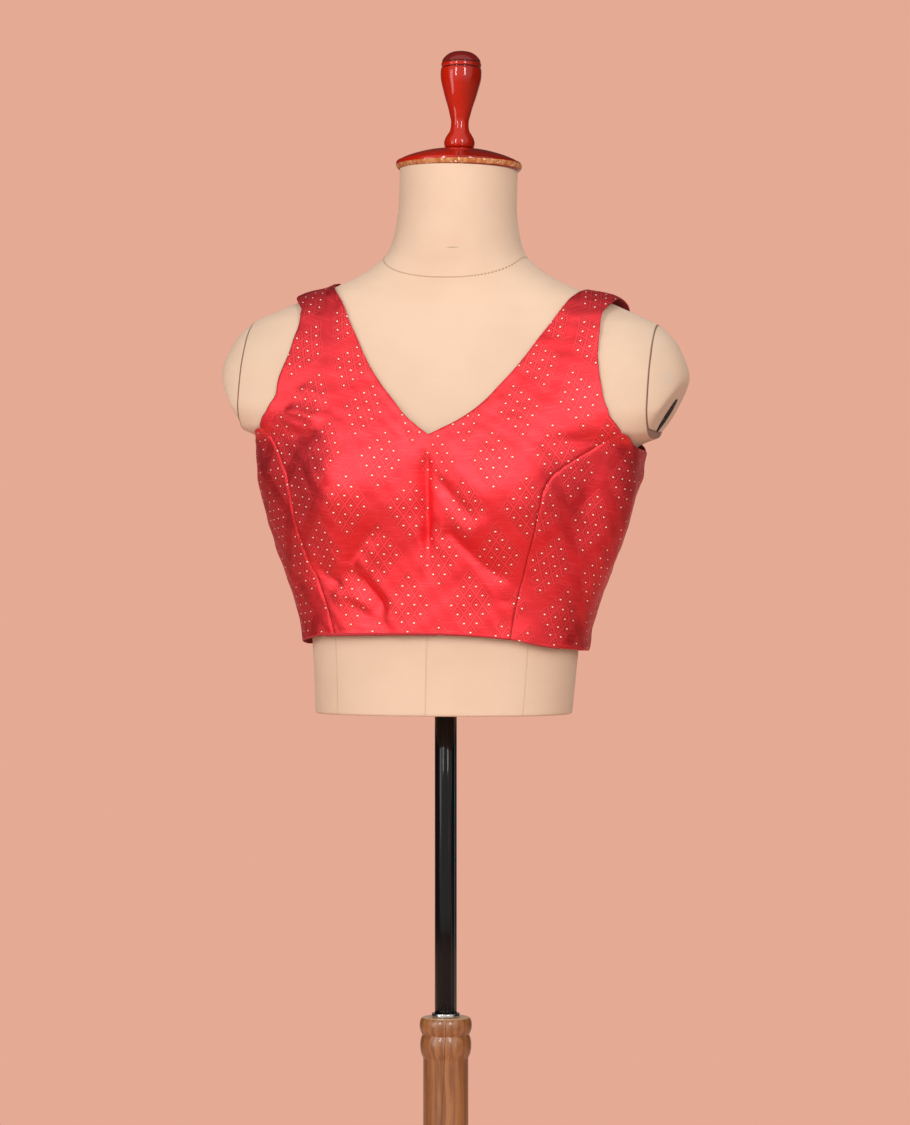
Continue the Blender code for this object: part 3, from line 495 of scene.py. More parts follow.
@dataclass(frozen=True)
class Cut:
    """The blouse's cut lines. Distances are to the wearer's left and right."""

    cloth: ClothShape = ClothShape()
    front_neckline: Table = Table(
        ("height", "left", "right"),
        (
            (1.2115, 0.0000, 0.0000), (1.2273, 0.0300, 0.0208), (1.2420, 0.0480, 0.0342),
            (1.2560, 0.0597, 0.0467), (1.2710, 0.0716, 0.0582), (1.2850, 0.0809, 0.0672),
            (1.3000, 0.0899, 0.0760), (1.3150, 0.0993, 0.0851), (1.3300, 0.1076, 0.0934),
            (1.3400, 0.1138, 0.1010),
        ),
    )
    front_armhole: Table = Table(
        ("height", "left", "right"),
        (
            (1.2165, 0.1680, 0.1655), (1.2240, 0.1628, 0.1613), (1.2330, 0.1562, 0.1548),
            (1.2440, 0.1524, 0.1480), (1.2555, 0.1490, 0.1464), (1.2700, 0.1457, 0.1422),
            (1.2850, 0.1436, 0.1378), (1.3000, 0.1425, 0.1352), (1.3150, 0.1420, 0.1331),
            (1.3270, 0.1432, 0.1350),
        ),
    )
    back_neckline: Table = Table(
        ("height", "left", "right"),
        (
            (1.2200, 0.0000, 0.0000), (1.2240, 0.0400, 0.0380), (1.2420, 0.0760, 0.0700),
            (1.2720, 0.0980, 0.0880), (1.3040, 0.1100, 0.0980), (1.3270, 0.1155, 0.1020),
        ),
    )
    back_armhole: Table = Table(
        ("height", "left", "right"),
        (
            (1.2120, 0.1640, 0.1630), (1.2280, 0.1540, 0.1520), (1.2520, 0.1490, 0.1450),
            (1.2820, 0.1480, 0.1410), (1.3120, 0.1480, 0.1400),
        ),
    )
    princess_seam: Table = Table(
        ("height", "left", "right"),
        (
            (1.030, 43.5, 50.0), (1.063, 44.5, 53.0), (1.090, 45.4, 56.0), (1.115, 45.1, 57.6),
            (1.140, 44.8, 58.2), (1.158, 45.3, 58.6), (1.174, 48.3, 60.0), (1.188, 55.2, 62.4),
            (1.203, 64.0, 65.6), (1.2165, 69.5, 68.6),
        ),
    )
    hem: Table = Table(
        ("angle", "height"),
        (
            (-180.0, 1.0190), (-90.0, 1.0225), (-78.0, 1.0260), (-49.0, 1.0340), (-26.0, 1.0357),
            (3.0, 1.0370), (24.0, 1.0362), (44.0, 1.0335), (57.0, 1.0288), (67.0, 1.0261), (83.0, 1.0238),
            (180.0, 1.0190),
        ),
    )
    shoulder_back: float = 0.006
    shoulder_inside: float = 1.250
    shoulder_inner: Pair = (0.1195, 0.1090)
    shoulder_outer: Pair = (0.1485, 0.1450)
    underarm_rise: float = 1.203
    underarm_angle: float = float(np.radians(97.0))
    underarm_dip: Pair = (0.45, 0.86)
    princess_gap: float = 0.0004
    side_gap: float = 0.0007
    shoulder_gap: float = 0.0007
    centre_gap: float = 0.0005
    edge_points: int = 161

    def cast(self, start: list[Array], direction: list[Array]) -> Array:
        """Names of the places where rays from inside leave the smooth cloth."""
        distance = self.cloth.march(start, direction)
        return self.cloth.name_of([s + d * distance for s, d in zip(start, direction)])

    def on_sheet(self, rows: Table, side: Side, toward: float) -> Array:
        """Names of a cut line's rows on the front or the back.

        Args:
            rows: heights and distances of the line.
            side: the wearer's side.
            toward: FRONT or BACK.

        Returns:
            The names of the rows' places.
        """
        across = rows.column(side.label) * side.value
        flat = 0.0 * across
        names = self.cast([across, flat, rows.column("height")], [flat, flat + toward, flat])
        if toward > 0:
            names[:, 0] = np.abs(names[:, 0]) * side.value
        return names

    def on_shoulder(self, ends: Pair, side: Side, shift: float) -> Array:
        """Name of a strap's corner, at a distance on either side, shifted to the back."""
        across = ends[0] if side is Side.LEFT else -ends[1]
        start = np.array((across, self.shoulder_back + shift, self.shoulder_inside))
        return self.cast(list(start), list(np.array((0.0, 0.0, 1.0))))

    def smooth_edge(self, names: list[Array]) -> Array:
        """A smooth line through named places, evenly spaced along the cloth.

        Args:
            names: lines and single names, in order.

        Returns:
            The names of the line's points.
        """
        known = np.vstack(names)
        knot = run_along(self.cloth.point(known, folded=False))
        fine = np.linspace(0.0, knot[-1], self.edge_points)
        line = np.stack([smooth_through(knot, known[:, axis], fine) for axis in (0, 1)], axis=-1)
        run = run_along(self.cloth.point(line, folded=False))
        return read_along(line, run, np.linspace(0.0, run[-1], self.edge_points))

    def moved_aside(self, edge: Array, distance: float) -> Array:
        """A line moved square to itself along the cloth, plus being to the left going up.

        Args:
            edge: the line's names.
            distance: how far, in metres.

        Returns:
            The moved line's names.
        """
        places = self.cloth.point(edge, folded=False)
        radius = np.hypot(places[:, 0], places[:, 1] - self.cloth.ray_middle)
        run = np.gradient(edge, axis=0)
        run[:, 0] *= radius
        run /= np.linalg.norm(run, axis=1)[:, None]
        moved = edge.copy()
        moved[:, 0] += distance * run[:, 1] / radius
        moved[:, 1] -= distance * run[:, 0]
        return moved

    def straight(self, first: Array, last: Array) -> Array:
        """A line from one name to another, straight in angle and rise."""
        t = np.linspace(0.0, 1.0, self.edge_points)[:, None]
        return (1 - t) * first + t * last

    def hem_rise(self, angle: Array) -> Array:
        """The hem's rise at each angle round the body."""
        return self.hem.at("height", np.degrees(wrapped(np.asarray(angle))))

    def hem_edge(self, first: float, last: float) -> Array:
        """The hem's names from one angle to another."""
        angle = np.linspace(first, last, self.edge_points)
        return stacked(angle, self.hem_rise(angle))

    def princess_edge(self, side: Side, shift: float) -> Array:
        """One princess seam from the hem up, moved aside.

        Args:
            side: the wearer's side.
            shift: distance square to the seam.

        Returns:
            The seam's names.
        """
        angle = np.radians(self.princess_seam.column(side.label)) * side.value
        flat = 0.0 * angle
        start = [flat, flat + self.cloth.ray_middle, self.princess_seam.column("height")]
        names = self.cast(start, [np.sin(angle), -np.cos(angle), flat])
        edge = self.moved_aside(self.smooth_edge([names]), shift)
        edge[0, 1] = self.hem_rise(edge[0, 0])
        return edge

    def side_edge(self, side: Side, shift: float) -> Array:
        """One side seam from the hem up, moved aside."""
        top = np.array((self.underarm_angle * side.value, self.underarm_rise))
        foot = np.array((top[0], float(self.hem_rise(top[0]))))
        return self.moved_aside(self.straight(foot, top), shift)


@dataclass(frozen=True)
class Spacing:
    """How a patch is divided: even steps, with closer ones beside its edges."""

    steps: int
    close: tuple[float, ...] = (0.0035, 0.0100, 0.0190)
    low: bool = True
    high: bool = True

    clear = 1.6
    least = 1e-9

    def shares(self) -> Array:
        """Rising shares from 0 to 1; the even ones keep clear of the close ones."""
        first = list(self.close) if self.low else []
        last = [1.0 - share for share in reversed(self.close)] if self.high else []
        inner = np.linspace(0.0, 1.0, self.steps + 1)
        low = self.close[-1] * self.clear if self.low else 0.0
        high = 1.0 - low if self.high else 1.0
        inner = inner[(inner > low + self.least) & (inner < high - self.least)]
        return np.concatenate(([0.0], first, inner, last, [1.0]))


def patch(left: Array, right: Array, bottom: Array, top: Array, across: Array, up: Array) -> Array:
    """Names of a grid between four edges that share their corners.

    The grid is left-right blend plus bottom-top blend minus the corners' blend.

    Args:
        left: names from the bottom to the top.
        right: names from the bottom to the top.
        bottom: names from left to right.
        top: names from left to right.
        across: shares from left to right.
        up: shares from bottom to top.

    Returns:
        The names, as rows from bottom to top.
    """

    def along(edge: Array, share: Array) -> Array:
        """The places at shares of an edge's length."""
        return read_along(edge, np.linspace(0.0, 1.0, len(edge)), share)

    s = across[None, :, None]
    t = up[:, None, None]
    sides = (1 - s) * along(left, up)[:, None, :] + s * along(right, up)[:, None, :]
    ends = (1 - t) * along(bottom, across)[None, :, :] + t * along(top, across)[None, :, :]
    corners = (1 - t) * ((1 - s) * bottom[0] + s * bottom[-1]) + t * ((1 - s) * top[0] + s * top[-1])
    return sides + ends - corners


# Meshes


def grid_faces(rows: int, columns: int, base: int, closed: bool) -> Array:
    """Quads of a grid of points, facing out when columns run to the left of the outside.

    Args:
        rows: rows of points.
        columns: points in a row.
        base: index of the first point.
        closed: whether the last column joins the first.

    Returns:
        Four point indices a face.
    """
    index = base + np.arange(rows * columns).reshape(rows, columns)
    if closed:
        index = np.concatenate([index, index[:, :1]], axis=1)
    corners = (index[:-1, :-1], index[:-1, 1:], index[1:, 1:], index[1:, :-1])
    return np.stack(corners, axis=-1).reshape(-1, 4)


def mesh_of(name: str, grids: list[Array], closed: bool = False) -> Mesh:
    """One mesh from grids of points, joined where they share points.

    Args:
        name: the mesh's name.
        grids: points as rows, columns and coordinates.
        closed: whether each grid's last column joins its first.

    Returns:
        The mesh, smooth-shaded.
    """
    points, faces, base = [], [], 0
    for grid in grids:
        rows, columns = grid.shape[:2]
        points.append(grid.reshape(-1, 3))
        faces.append(grid_faces(rows, columns, base, closed))
        base += rows * columns
    mesh = bpy.data.meshes.new(name)
    mesh.from_pydata(np.vstack(points).tolist(), [], np.vstack(faces).tolist())
    mesh.shade_smooth()
    return mesh


@contextmanager
def opened(mesh: Mesh) -> Iterator[bmesh.types.BMesh]:
    """A mesh opened for editing, and written back at the end.

    Args:
        mesh: the mesh to change.

    Yields:
        The mesh in its editable form.
    """
    shape = bmesh.new()
    shape.from_mesh(mesh)
    yield shape
    shape.to_mesh(mesh)
    shape.free()


def merged(mesh: Mesh, reach: float = 1e-6) -> None:
    """Join a mesh's points that lie within reach of each other."""
    with opened(mesh) as shape:
        bmesh.ops.remove_doubles(shape, verts=shape.verts, dist=reach)


def cap(shape: bmesh.types.BMesh) -> None:
    """Close a mesh's open loops, each with one face."""
    loops = [edge for edge in shape.edges if edge.is_boundary]
    bmesh.ops.holes_fill(shape, edges=loops, sides=0)


def sealed(name: str, points: Array) -> Mesh:
    """A closed mesh from one grid: doubled points joined, ends capped, faces turned out.

    Args:
        name: the mesh's name.
        points: the grid, whose last column joins its first.

    Returns:
        The mesh, smooth-shaded.
    """
    mesh = mesh_of(name, [points], closed=True)
    merged(mesh)
    with opened(mesh) as shape:
        cap(shape)
        bmesh.ops.recalc_face_normals(shape, faces=shape.faces)
    mesh.shade_smooth()
    return mesh


def coordinates(mesh: Mesh) -> Array:
    """All the points of a mesh."""
    flat = np.empty(len(mesh.vertices) * 3)
    mesh.vertices.foreach_get("co", flat)
    return flat.reshape(-1, 3)


def store(mesh: Mesh, name: str, values: Array) -> None:
    """Keep one number a point on a mesh under a name."""
    attribute = mesh.attributes.new(name, "FLOAT", "POINT")
    attribute.data.foreach_set("value", np.ascontiguousarray(values, np.float32))


def add_piece(name: str, mesh: Mesh, finish: Material, slot: str, *nodes: str) -> Piece:
    """Put a mesh in the scene as a piece of the object.

    Args:
        name: the piece's name.
        mesh: its mesh.
        finish: its material.
        slot: the name of a material slot; not used.
        nodes: solids that it stands for.

    Returns:
        The piece.
    """
    mesh.materials.append(finish)
    piece = bpy.data.objects.new(name, mesh)
    bpy.context.scene.collection.objects.link(piece)
    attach(piece, BODY)
    if nodes:
        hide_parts(*nodes)
    LOG.info("%s: %d points", name, len(mesh.vertices))
    return piece


def turned(profile: Rows, steps: int = 96) -> Array:
    """A grid turned on the upright axis: (r sin a, -r cos a, z) for each profile row.

    Args:
        profile: radius and height, from the bottom up.
        steps: points round.

    Returns:
        The points, a row for each profile row.
    """
    radius, height = np.asarray(profile, float).T
    angle = np.linspace(0.0, 2 * np.pi, steps, endpoint=False)
    radius, height = radius[:, None], height[:, None]
    return stacked(radius * np.sin(angle), -radius * np.cos(angle), height)


@dataclass(frozen=True)
class PanelPlan:
    """What one panel is made from."""

    name: str
    grids: tuple[Array, ...]
    free: tuple[Array, ...]
    sewn: tuple[Array, ...]
    raised: tuple[Array, ...]
    grain: tuple[Pair, Pair]
    repeat_start: Pair
    flat: Pair
    area: float
    depth: float = 0.0


@dataclass
class Blouse:
    """The choli blouse: six panels of brocade, cut and sewn."""

    cut: Cut = field(default_factory=Cut)
    wall: float = 0.0009
    hem_turn: float = 0.0006
    hem_width: float = 0.0009
    seam_dip: float = 0.0007
    seam_width: float = 0.0011
    placket_width: float = 0.026
    placket_short: float = 0.004
    placket_under: float = 0.0023
    back_radius: float = 0.105
    columns: int = 60
    rows: int = 84
    back_rows: int = 64
    strap_rows: int = 60
    join_reach: float = 2e-5
    batch: int = 4000

    def outward(self, names: Array, side: Side) -> Array:
        """A grid whose columns run to the left, so that its faces look out."""
        return names if side is Side.LEFT else names[:, ::-1]

    def front_center(self) -> PanelPlan:
        """The front between the princess seams, up both straps."""
        cut = self.cut
        seams = {side: cut.princess_edge(side, -side.value * cut.princess_gap / 2) for side in Side}
        point = np.array((0.0, cut.on_sheet(cut.front_neckline, Side.LEFT, FRONT)[0, 1]))
        levels = {side: cut.straight(point, seams[side][-1]) for side in Side}
        across = Spacing(self.columns).shares()
        up = Spacing(self.strap_rows, low=False).shares()
        grids, free, sewn = [], [], list(seams.values())
        for side in Side:
            neckline = cut.on_sheet(cut.front_neckline, side, FRONT)
            neckline[0] = point
            armhole = cut.on_sheet(cut.front_armhole, side, FRONT)
            armhole[0] = seams[side][-1]
            shift = -cut.shoulder_gap / 2
            neckline = cut.smooth_edge([neckline, cut.on_shoulder(cut.shoulder_inner, side, shift)])
            armhole = cut.smooth_edge([armhole, cut.on_shoulder(cut.shoulder_outer, side, shift)])
            shoulder = cut.straight(neckline[-1], armhole[-1])
            strap = patch(neckline, armhole, levels[side], shoulder, across, up)
            grids.append(self.outward(strap, side))
            free += [neckline, armhole]
            sewn.append(shoulder)
        level = np.vstack([levels[Side.RIGHT][::-1], levels[Side.LEFT][1:]])
        hem = cut.hem_edge(seams[Side.RIGHT][0, 0], seams[Side.LEFT][0, 0])
        both = np.concatenate([(1 - across[::-1]) / 2, (1 + across[1:]) / 2])
        rows = Spacing(self.rows, high=False).shares()
        body = patch(seams[Side.RIGHT], seams[Side.LEFT], hem, level, both, rows)
        return PanelPlan(
            "blouse_front_center",
            (*grids, body),
            (*free, hem),
            tuple(sewn),
            (),
            grain=((0.8, 1.055), (0.8, 1.185)),
            repeat_start=(0.0447, 0.0366),
            flat=(0.459, 0.354),
            area=0.070,
        )

    def front_side(self, side: Side) -> PanelPlan:
        """A side front, from the princess seam to the side seam.

        Args:
            side: the wearer's side.

        Returns:
            The panel's plan.
        """
        cut = self.cut
        front = cut.princess_edge(side, side.value * cut.princess_gap / 2)
        seam = cut.side_edge(side, -side.value * cut.side_gap / 2)
        hem = cut.hem_edge(front[0, 0], seam[0, 0])
        dip = front[-1] + (seam[-1] - front[-1]) * cut.underarm_dip
        top = cut.smooth_edge([front[-1], dip, seam[-1]])
        across = Spacing(self.columns // 2).shares()
        names = patch(front, seam, hem, top, across, Spacing(self.rows).shares())
        return PanelPlan(
            f"blouse_front_side_{side.label}",
            (self.outward(names, side),),
            (hem, top),
            (front,),
            (seam,),
            grain=((78.0 * side.value, 1.040), (78.0 * side.value, 1.190)),
            repeat_start=(0.0060, 0.0340),
            flat=(0.149, 0.204) if side is Side.LEFT else (0.123, 0.204),
            area=0.0250 if side is Side.LEFT else 0.0202,
        )

    def back(self, side: Side) -> PanelPlan:
        """A back, from the side seam to the centre back opening, up its strap.

        Args:
            side: the wearer's side.

        Returns:
            The panel's plan.
        """
        cut = self.cut
        seam = cut.side_edge(side, side.value * cut.side_gap / 2)
        neck = cut.on_sheet(cut.back_neckline, side, BACK)
        neck[0, 0] = np.pi * side.value
        foot = np.array((np.pi * side.value, float(cut.hem_rise(np.pi))))
        centre = cut.moved_aside(cut.straight(foot, neck[0]), -side.value * cut.centre_gap / 2)
        neck[0] = centre[-1]
        shift = cut.shoulder_gap / 2
        neckline = cut.smooth_edge([neck, cut.on_shoulder(cut.shoulder_inner, side, shift)])
        armhole = cut.smooth_edge(
            [
                seam[-1],
                cut.on_sheet(cut.back_armhole, side, BACK),
                cut.on_shoulder(cut.shoulder_outer, side, shift),
            ]
        )
        level = cut.straight(seam[-1], centre[-1])
        hem = cut.hem_edge(seam[0, 0], centre[0, 0])
        shoulder = cut.straight(armhole[-1], neckline[-1])
        across = Spacing(self.columns).shares()
        lower = patch(seam, centre, hem, level, across, Spacing(self.back_rows, high=False).shares())
        up = Spacing(self.strap_rows, low=False).shares()
        upper = patch(armhole, neckline, level, shoulder, across, up)
        return PanelPlan(
            f"blouse_back_{side.label}",
            (self.outward(lower, side), self.outward(upper, side)),
            (hem, armhole, neckline, centre),
            (shoulder,),
            (seam,),
            grain=((172.0 * side.value, 1.040), (172.0 * side.value, 1.200)),
            repeat_start=(0.0120, 0.0180),
            flat=(0.214, 0.387),
            area=0.0470,
        )

    def placket(self) -> PanelPlan:
        """The strip behind the centre back opening, which takes the hooks."""
        cut = self.cut
        half_turn = self.placket_width / 2 / self.back_radius
        low = float(cut.hem_rise(np.pi)) + self.placket_short
        high = cut.on_sheet(cut.back_neckline, Side.LEFT, BACK)[0, 1] - self.placket_short
        left, right = (
            cut.straight(np.array((np.pi + turn, low)), np.array((np.pi + turn, high)))
            for turn in (-half_turn, half_turn)
        )
        bottom, top = (cut.straight(left[end], right[end]) for end in (0, -1))
        shares = Spacing(self.columns // 6).shares()
        names = patch(left, right, bottom, top, shares, Spacing(self.rows).shares())
        return PanelPlan(
            "blouse_back_placket",
            (names,),
            (left, right, bottom, top),
            (),
            (),
            grain=((180.0, 1.040), (180.0, 1.200)),
            repeat_start=(0.0270, 0.0440),
            flat=(0.027, 0.196),
            area=0.0048,
            depth=self.placket_under,
        )

    def nearness(self, places: Array, edges: tuple[Array, ...]) -> Array:
        """Distance from each place to the nearest of some lines on the cloth.

        Args:
            places: points of the smooth cloth.
            edges: the lines' names.

        Returns:
            The distances, large where there is no line.
        """
        best = np.full(len(places), 1.0)
        for edge in edges:
            line = self.cut.cloth.point(edge[::2], folded=False)
            run = np.diff(line, axis=0)
            square = (run**2).sum(axis=1)
            for part in np.array_split(np.arange(len(places)), 1 + len(places) // self.batch):
                offset = places[part][:, None, :] - line[None, :-1, :]
                share = np.clip((offset * run).sum(axis=2) / square, 0.0, 1.0)
                apart = np.linalg.norm(offset - share[..., None] * run, axis=2)
                best[part] = np.minimum(best[part], apart.min(axis=1))
        return best

    def shaped(self, plan: PanelPlan, names: Array) -> Array:
        """A panel's points: the cloth, turned in at open edges and sunk at seams.

        The inward distance is hem_turn * exp(-(d/hem_width)^2) at open edges,
        seam_dip * exp(-(d/seam_width)^2) at seams, and as much outward at a raised one.

        Args:
            plan: the panel.
            names: a grid of names.

        Returns:
            The grid of points on the leaning form.
        """
        flat = names.reshape(-1, 2)
        smooth = self.cut.cloth.point(flat, folded=False)
        turn, dip, lip = (
            height * np.exp(-((self.nearness(smooth, edges) / width) ** 2))
            for height, edges, width in (
                (self.hem_turn, plan.free, self.hem_width),
                (self.seam_dip, plan.sewn, self.seam_width),
                (self.seam_dip, plan.raised, self.seam_width),
            )
        )
        places = self.cut.cloth.point(flat, plan.depth + turn + dip - lip)
        return self.cut.cloth.form.leaned(places).reshape(*names.shape[:2], 3)

    def lay_flat(self, piece: Piece, plan: PanelPlan) -> Triple:
        """Flatten a panel into its UV map in metres, grain upright.

        Args:
            piece: the panel's open sheet.
            plan: the panel.

        Returns:
            Width, length and area of the flat panel.
        """
        mesh = piece.data
        bpy.context.view_layer.objects.active = piece
        piece.select_set(True)
        mesh.uv_layers.new(name="cut")
        bpy.ops.object.mode_set(mode="EDIT")
        bpy.ops.mesh.select_all(action="SELECT")
        bpy.ops.uv.unwrap(method="MINIMUM_STRETCH", iterations=20, margin=0.0)
        bpy.ops.object.mode_set(mode="OBJECT")
        piece.select_set(False)
        corner = np.empty(len(mesh.loops), np.int32)
        mesh.loops.foreach_get("vertex_index", corner)
        layer = mesh.uv_layers["cut"].uv
        uv = np.empty(len(mesh.loops) * 2)
        layer.foreach_get("vector", uv)
        uv = uv.reshape(-1, 2)
        places = coordinates(mesh)
        foot, head = (
            np.linalg.norm(places - self.named_place(name, plan.depth), axis=1).argmin()
            for name in plan.grain
        )
        at = np.zeros((len(places), 2))
        at[corner] = uv
        quads = uv.reshape(-1, 4, 2)
        first, second = quads[:, 2] - quads[:, 0], quads[:, 3] - quads[:, 1]
        signed = 0.5 * (first[:, 0] * second[:, 1] - first[:, 1] * second[:, 0]).sum()
        area = sum(face.area for face in mesh.polygons)
        scale = np.sqrt(area / abs(signed))
        uv = uv * (scale * np.sign(signed), scale)
        at = at * (scale * np.sign(signed), scale)
        up = (at[head] - at[foot]) / np.linalg.norm(at[head] - at[foot])
        turn = np.array(((up[1], up[0]), (-up[0], up[1])))
        uv = (uv - at[foot]) @ turn + plan.repeat_start
        layer.foreach_set("vector", uv.astype(np.float32).ravel())
        width, length = np.ptp(uv, axis=0)
        return float(width), float(length), float(area)

    def named_place(self, name: Pair, depth: float) -> Array:
        """The leaning cloth's point at an angle in degrees and a rise."""
        names = np.array((np.radians(name[0]), name[1]))
        return self.cut.cloth.form.leaned(self.cut.cloth.point(names, depth))

    def sew(self, plan: PanelPlan, silk: Material, lining: Material) -> Piece:
        """Make one panel as a thin shell.

        Args:
            plan: the panel.
            silk: the finish outside.
            lining: the finish inside.

        Returns:
            The finished piece.
        """
        mesh = mesh_of(plan.name, [self.shaped(plan, names) for names in plan.grids])
        merged(mesh, self.join_reach)
        piece = add_piece(plan.name, mesh, silk, "red_brocade", plan.name.removeprefix("blouse_"))
        measured = self.lay_flat(piece, plan)
        LOG.info("%s lies flat at %.3f x %.3f m, %.4f m2", plan.name, *measured)
        thicken = piece.modifiers.new("Wall", "SOLIDIFY")
        thicken.thickness = self.wall
        thicken.offset = -1.0
        thicken.material_offset = 1
        mesh.materials.append(lining)
        return piece

    def build(self, silk: Material, lining: Material) -> None:
        """Sew all the panels."""
        plans = [self.front_center(), self.placket()]
        for side in Side:
            plans += [self.front_side(side), self.back(side)]
        for plan in plans:
            self.sew(plan, silk, lining)


# The dress form


@dataclass
class DressForm:
    """The limbless form: torso, arm ends, and the plates on them."""

    shape: FormShape = field(default_factory=FormShape)
    columns: int = 180
    levels: Rows = ((0.963, 1.190, 60), (1.192, 1.392, 110), (1.395, 1.455, 16))
    foot_round: float = 0.0022
    foot_rows: int = 5
    arm_seam: float = 0.1862
    arm_height: float = 1.260
    gap: float = 0.0003
    end_point: Triple = (0.1955, 0.0, 1.2360)
    end_tilt: float = float(np.radians(31))
    end_round: float = 0.0012
    end_reach: float = 30.0
    foot_clear: float = 1.3
    foot_level: Pair = (0.963, 0.975)
    crease_angle: float = float(np.radians(48))
    seam_lines: Rows = (
        # Angle in degrees, lowest height, highest height
        (0.0, 0.963, 1.19), (44.0, 0.963, 1.19), (-44.0, 0.963, 1.19), (90.0, 0.963, 1.20),
        (-90.0, 0.963, 1.20), (140.0, 0.963, 1.19), (-140.0, 0.963, 1.19), (180.0, 0.963, 1.39),
    )
    neck_seam: float = 1.3765
    neck_seam_drop: float = 0.0228
    neck_seam_back: float = 0.006
    plate_size: Triple = (0.016, 0.034, 0.0016)
    plate_rim: float = 0.45
    plate_points: int = 64
    plate_rings: int = 24
    plate_crease: float = float(np.radians(50))
    slot_side: float = 0.0034
    slot_depth: float = 0.0009
    slot_across: Pair = (0.0008, 0.0016)
    slot_along: Pair = (0.0085, 0.0100)

    def heights(self) -> Array:
        """Heights of the rings, closer together at the rounded foot."""
        rings = np.concatenate([np.linspace(*stretch[:2], int(stretch[2])) for stretch in self.levels])
        lift = self.foot_round * (1 - np.cos(np.linspace(0, np.pi / 2, self.foot_rows)))
        rings = rings[rings > self.shape.bottom + self.foot_round * self.foot_clear]
        return np.concatenate([self.shape.bottom + lift, rings])

    def surface(self) -> tuple[Array, Array, Array]:
        """The upright form's points, ring by ring.

        A ring is |x / half_width|^n + |(y - middle) / reach|^n = 1, read at even angles,
        with the bust added to its front reach.

        Returns:
            The points, and each ring point's angle and height.
        """
        height = self.heights()[:, None]
        angle = np.linspace(-np.pi, np.pi, self.columns, endpoint=False)[None, :]
        half_width, middle, front, back, fullness = self.shape.section_at(height)
        sine, cosine = np.sin(angle), np.cos(angle)
        spread = (np.abs(sine) ** fullness + np.abs(cosine) ** fullness) ** (1 / fullness)
        side = half_width * sine / spread
        front = front + self.shape.bust(side, height, self.shape.bust_spread, self.shape.bust_run_down)
        reach = np.where(cosine > 0, front + middle, back - middle)
        depth = middle - reach * cosine / spread
        up = np.clip((height - self.shape.bottom) / self.foot_round, 0.0, 1.0)
        shrink = 1.0 - self.foot_round * (1 - np.sqrt(1 - (1 - up) ** 2)) / half_width
        height = height + 0.0 * angle
        points = stacked(side * shrink, middle + (depth - middle) * shrink, height)
        low = 1 - soft_step(height, *self.foot_level)
        points[..., 2] += points[..., 0] * np.tan(self.shape.lean) * low
        return points, angle + 0.0 * height, height

    def seam_fields(self, points: Array, angle: Array, height: Array) -> list:
        """Distances to the form's upright seams and to its neck seam.

        Args:
            points: the form's points.
            angle: their angles.
            height: their heights.

        Returns:
            The distance to the nearest upright seam, and the signed one to the neck seam.
        """
        radius = np.hypot(points[..., 0], points[..., 1])
        nearest = np.full(angle.shape, 1.0)
        for degrees, low, high in self.seam_lines:
            apart = np.abs(wrapped(angle - np.radians(degrees))) * radius
            past = np.maximum(low - height, 0.0) + np.maximum(height - high, 0.0)
            nearest = np.minimum(nearest, np.hypot(apart, past))
        line = self.neck_seam - self.neck_seam_drop * np.maximum(np.cos(angle), 0.0) ** 2
        line = line + self.neck_seam_back * np.maximum(-np.cos(angle), 0.0)
        return [nearest, height - line]

    def end_plane(self, side: Side) -> tuple[Array, Array]:
        """The middle of an arm's flat end, and the direction that it faces."""
        out = np.array((np.cos(self.end_tilt) * side.value, 0.0, -np.sin(self.end_tilt)))
        return np.array(self.end_point) * (side.value, 1.0, 1.0), out

    def mesh(self, name: str, end: Side | None) -> Mesh:
        """A closed mesh of the whole form, with an arm end pressed flat.

        Points beyond the flat end by d go back to -k * ln(1 + exp(-d / k)), which
        rounds the end's rim.

        Args:
            name: the mesh's name.
            end: the side whose end is pressed flat, if any.

        Returns:
            The mesh, on the leaning form.
        """
        points, angle, height = self.surface()
        fields = self.seam_fields(points, angle, height)
        if end is not None:
            centre, out = self.end_plane(end)
            beyond = (points - centre) @ out
            scaled = np.clip(-beyond / self.end_round, -2 * self.end_reach, 2 * self.end_reach)
            rounded = -self.end_round * np.log1p(np.exp(scaled))
            kept = np.where(scaled > self.end_reach, beyond, rounded)
            points = points + (kept - beyond)[..., None] * out
        mesh = mesh_of(name, [self.shape.leaned(points)], closed=True)
        for label, values in zip(("upright_seam", "neck_seam"), fields):
            store(mesh, label, values.ravel())
        return mesh

    def cut(self, shape: bmesh.types.BMesh, side: float, toward: float) -> None:
        """Cut away what lies beyond an upright plane of the form.

        Args:
            shape: the mesh to cut.
            side: the plane's distance to the left.
            toward: 1 to cut away the left of it, -1 the right.
        """
        place = Vector(self.shape.leaned(np.array((side, 0.0, self.arm_height))))
        normal = Matrix.Rotation(self.shape.lean, 3, "Y") @ Vector((toward, 0.0, 0.0))
        whole = shape.verts[:] + shape.edges[:] + shape.faces[:]
        bmesh.ops.bisect_plane(
            shape, geom=whole, dist=1e-7, plane_co=place, plane_no=normal, clear_outer=True
        )

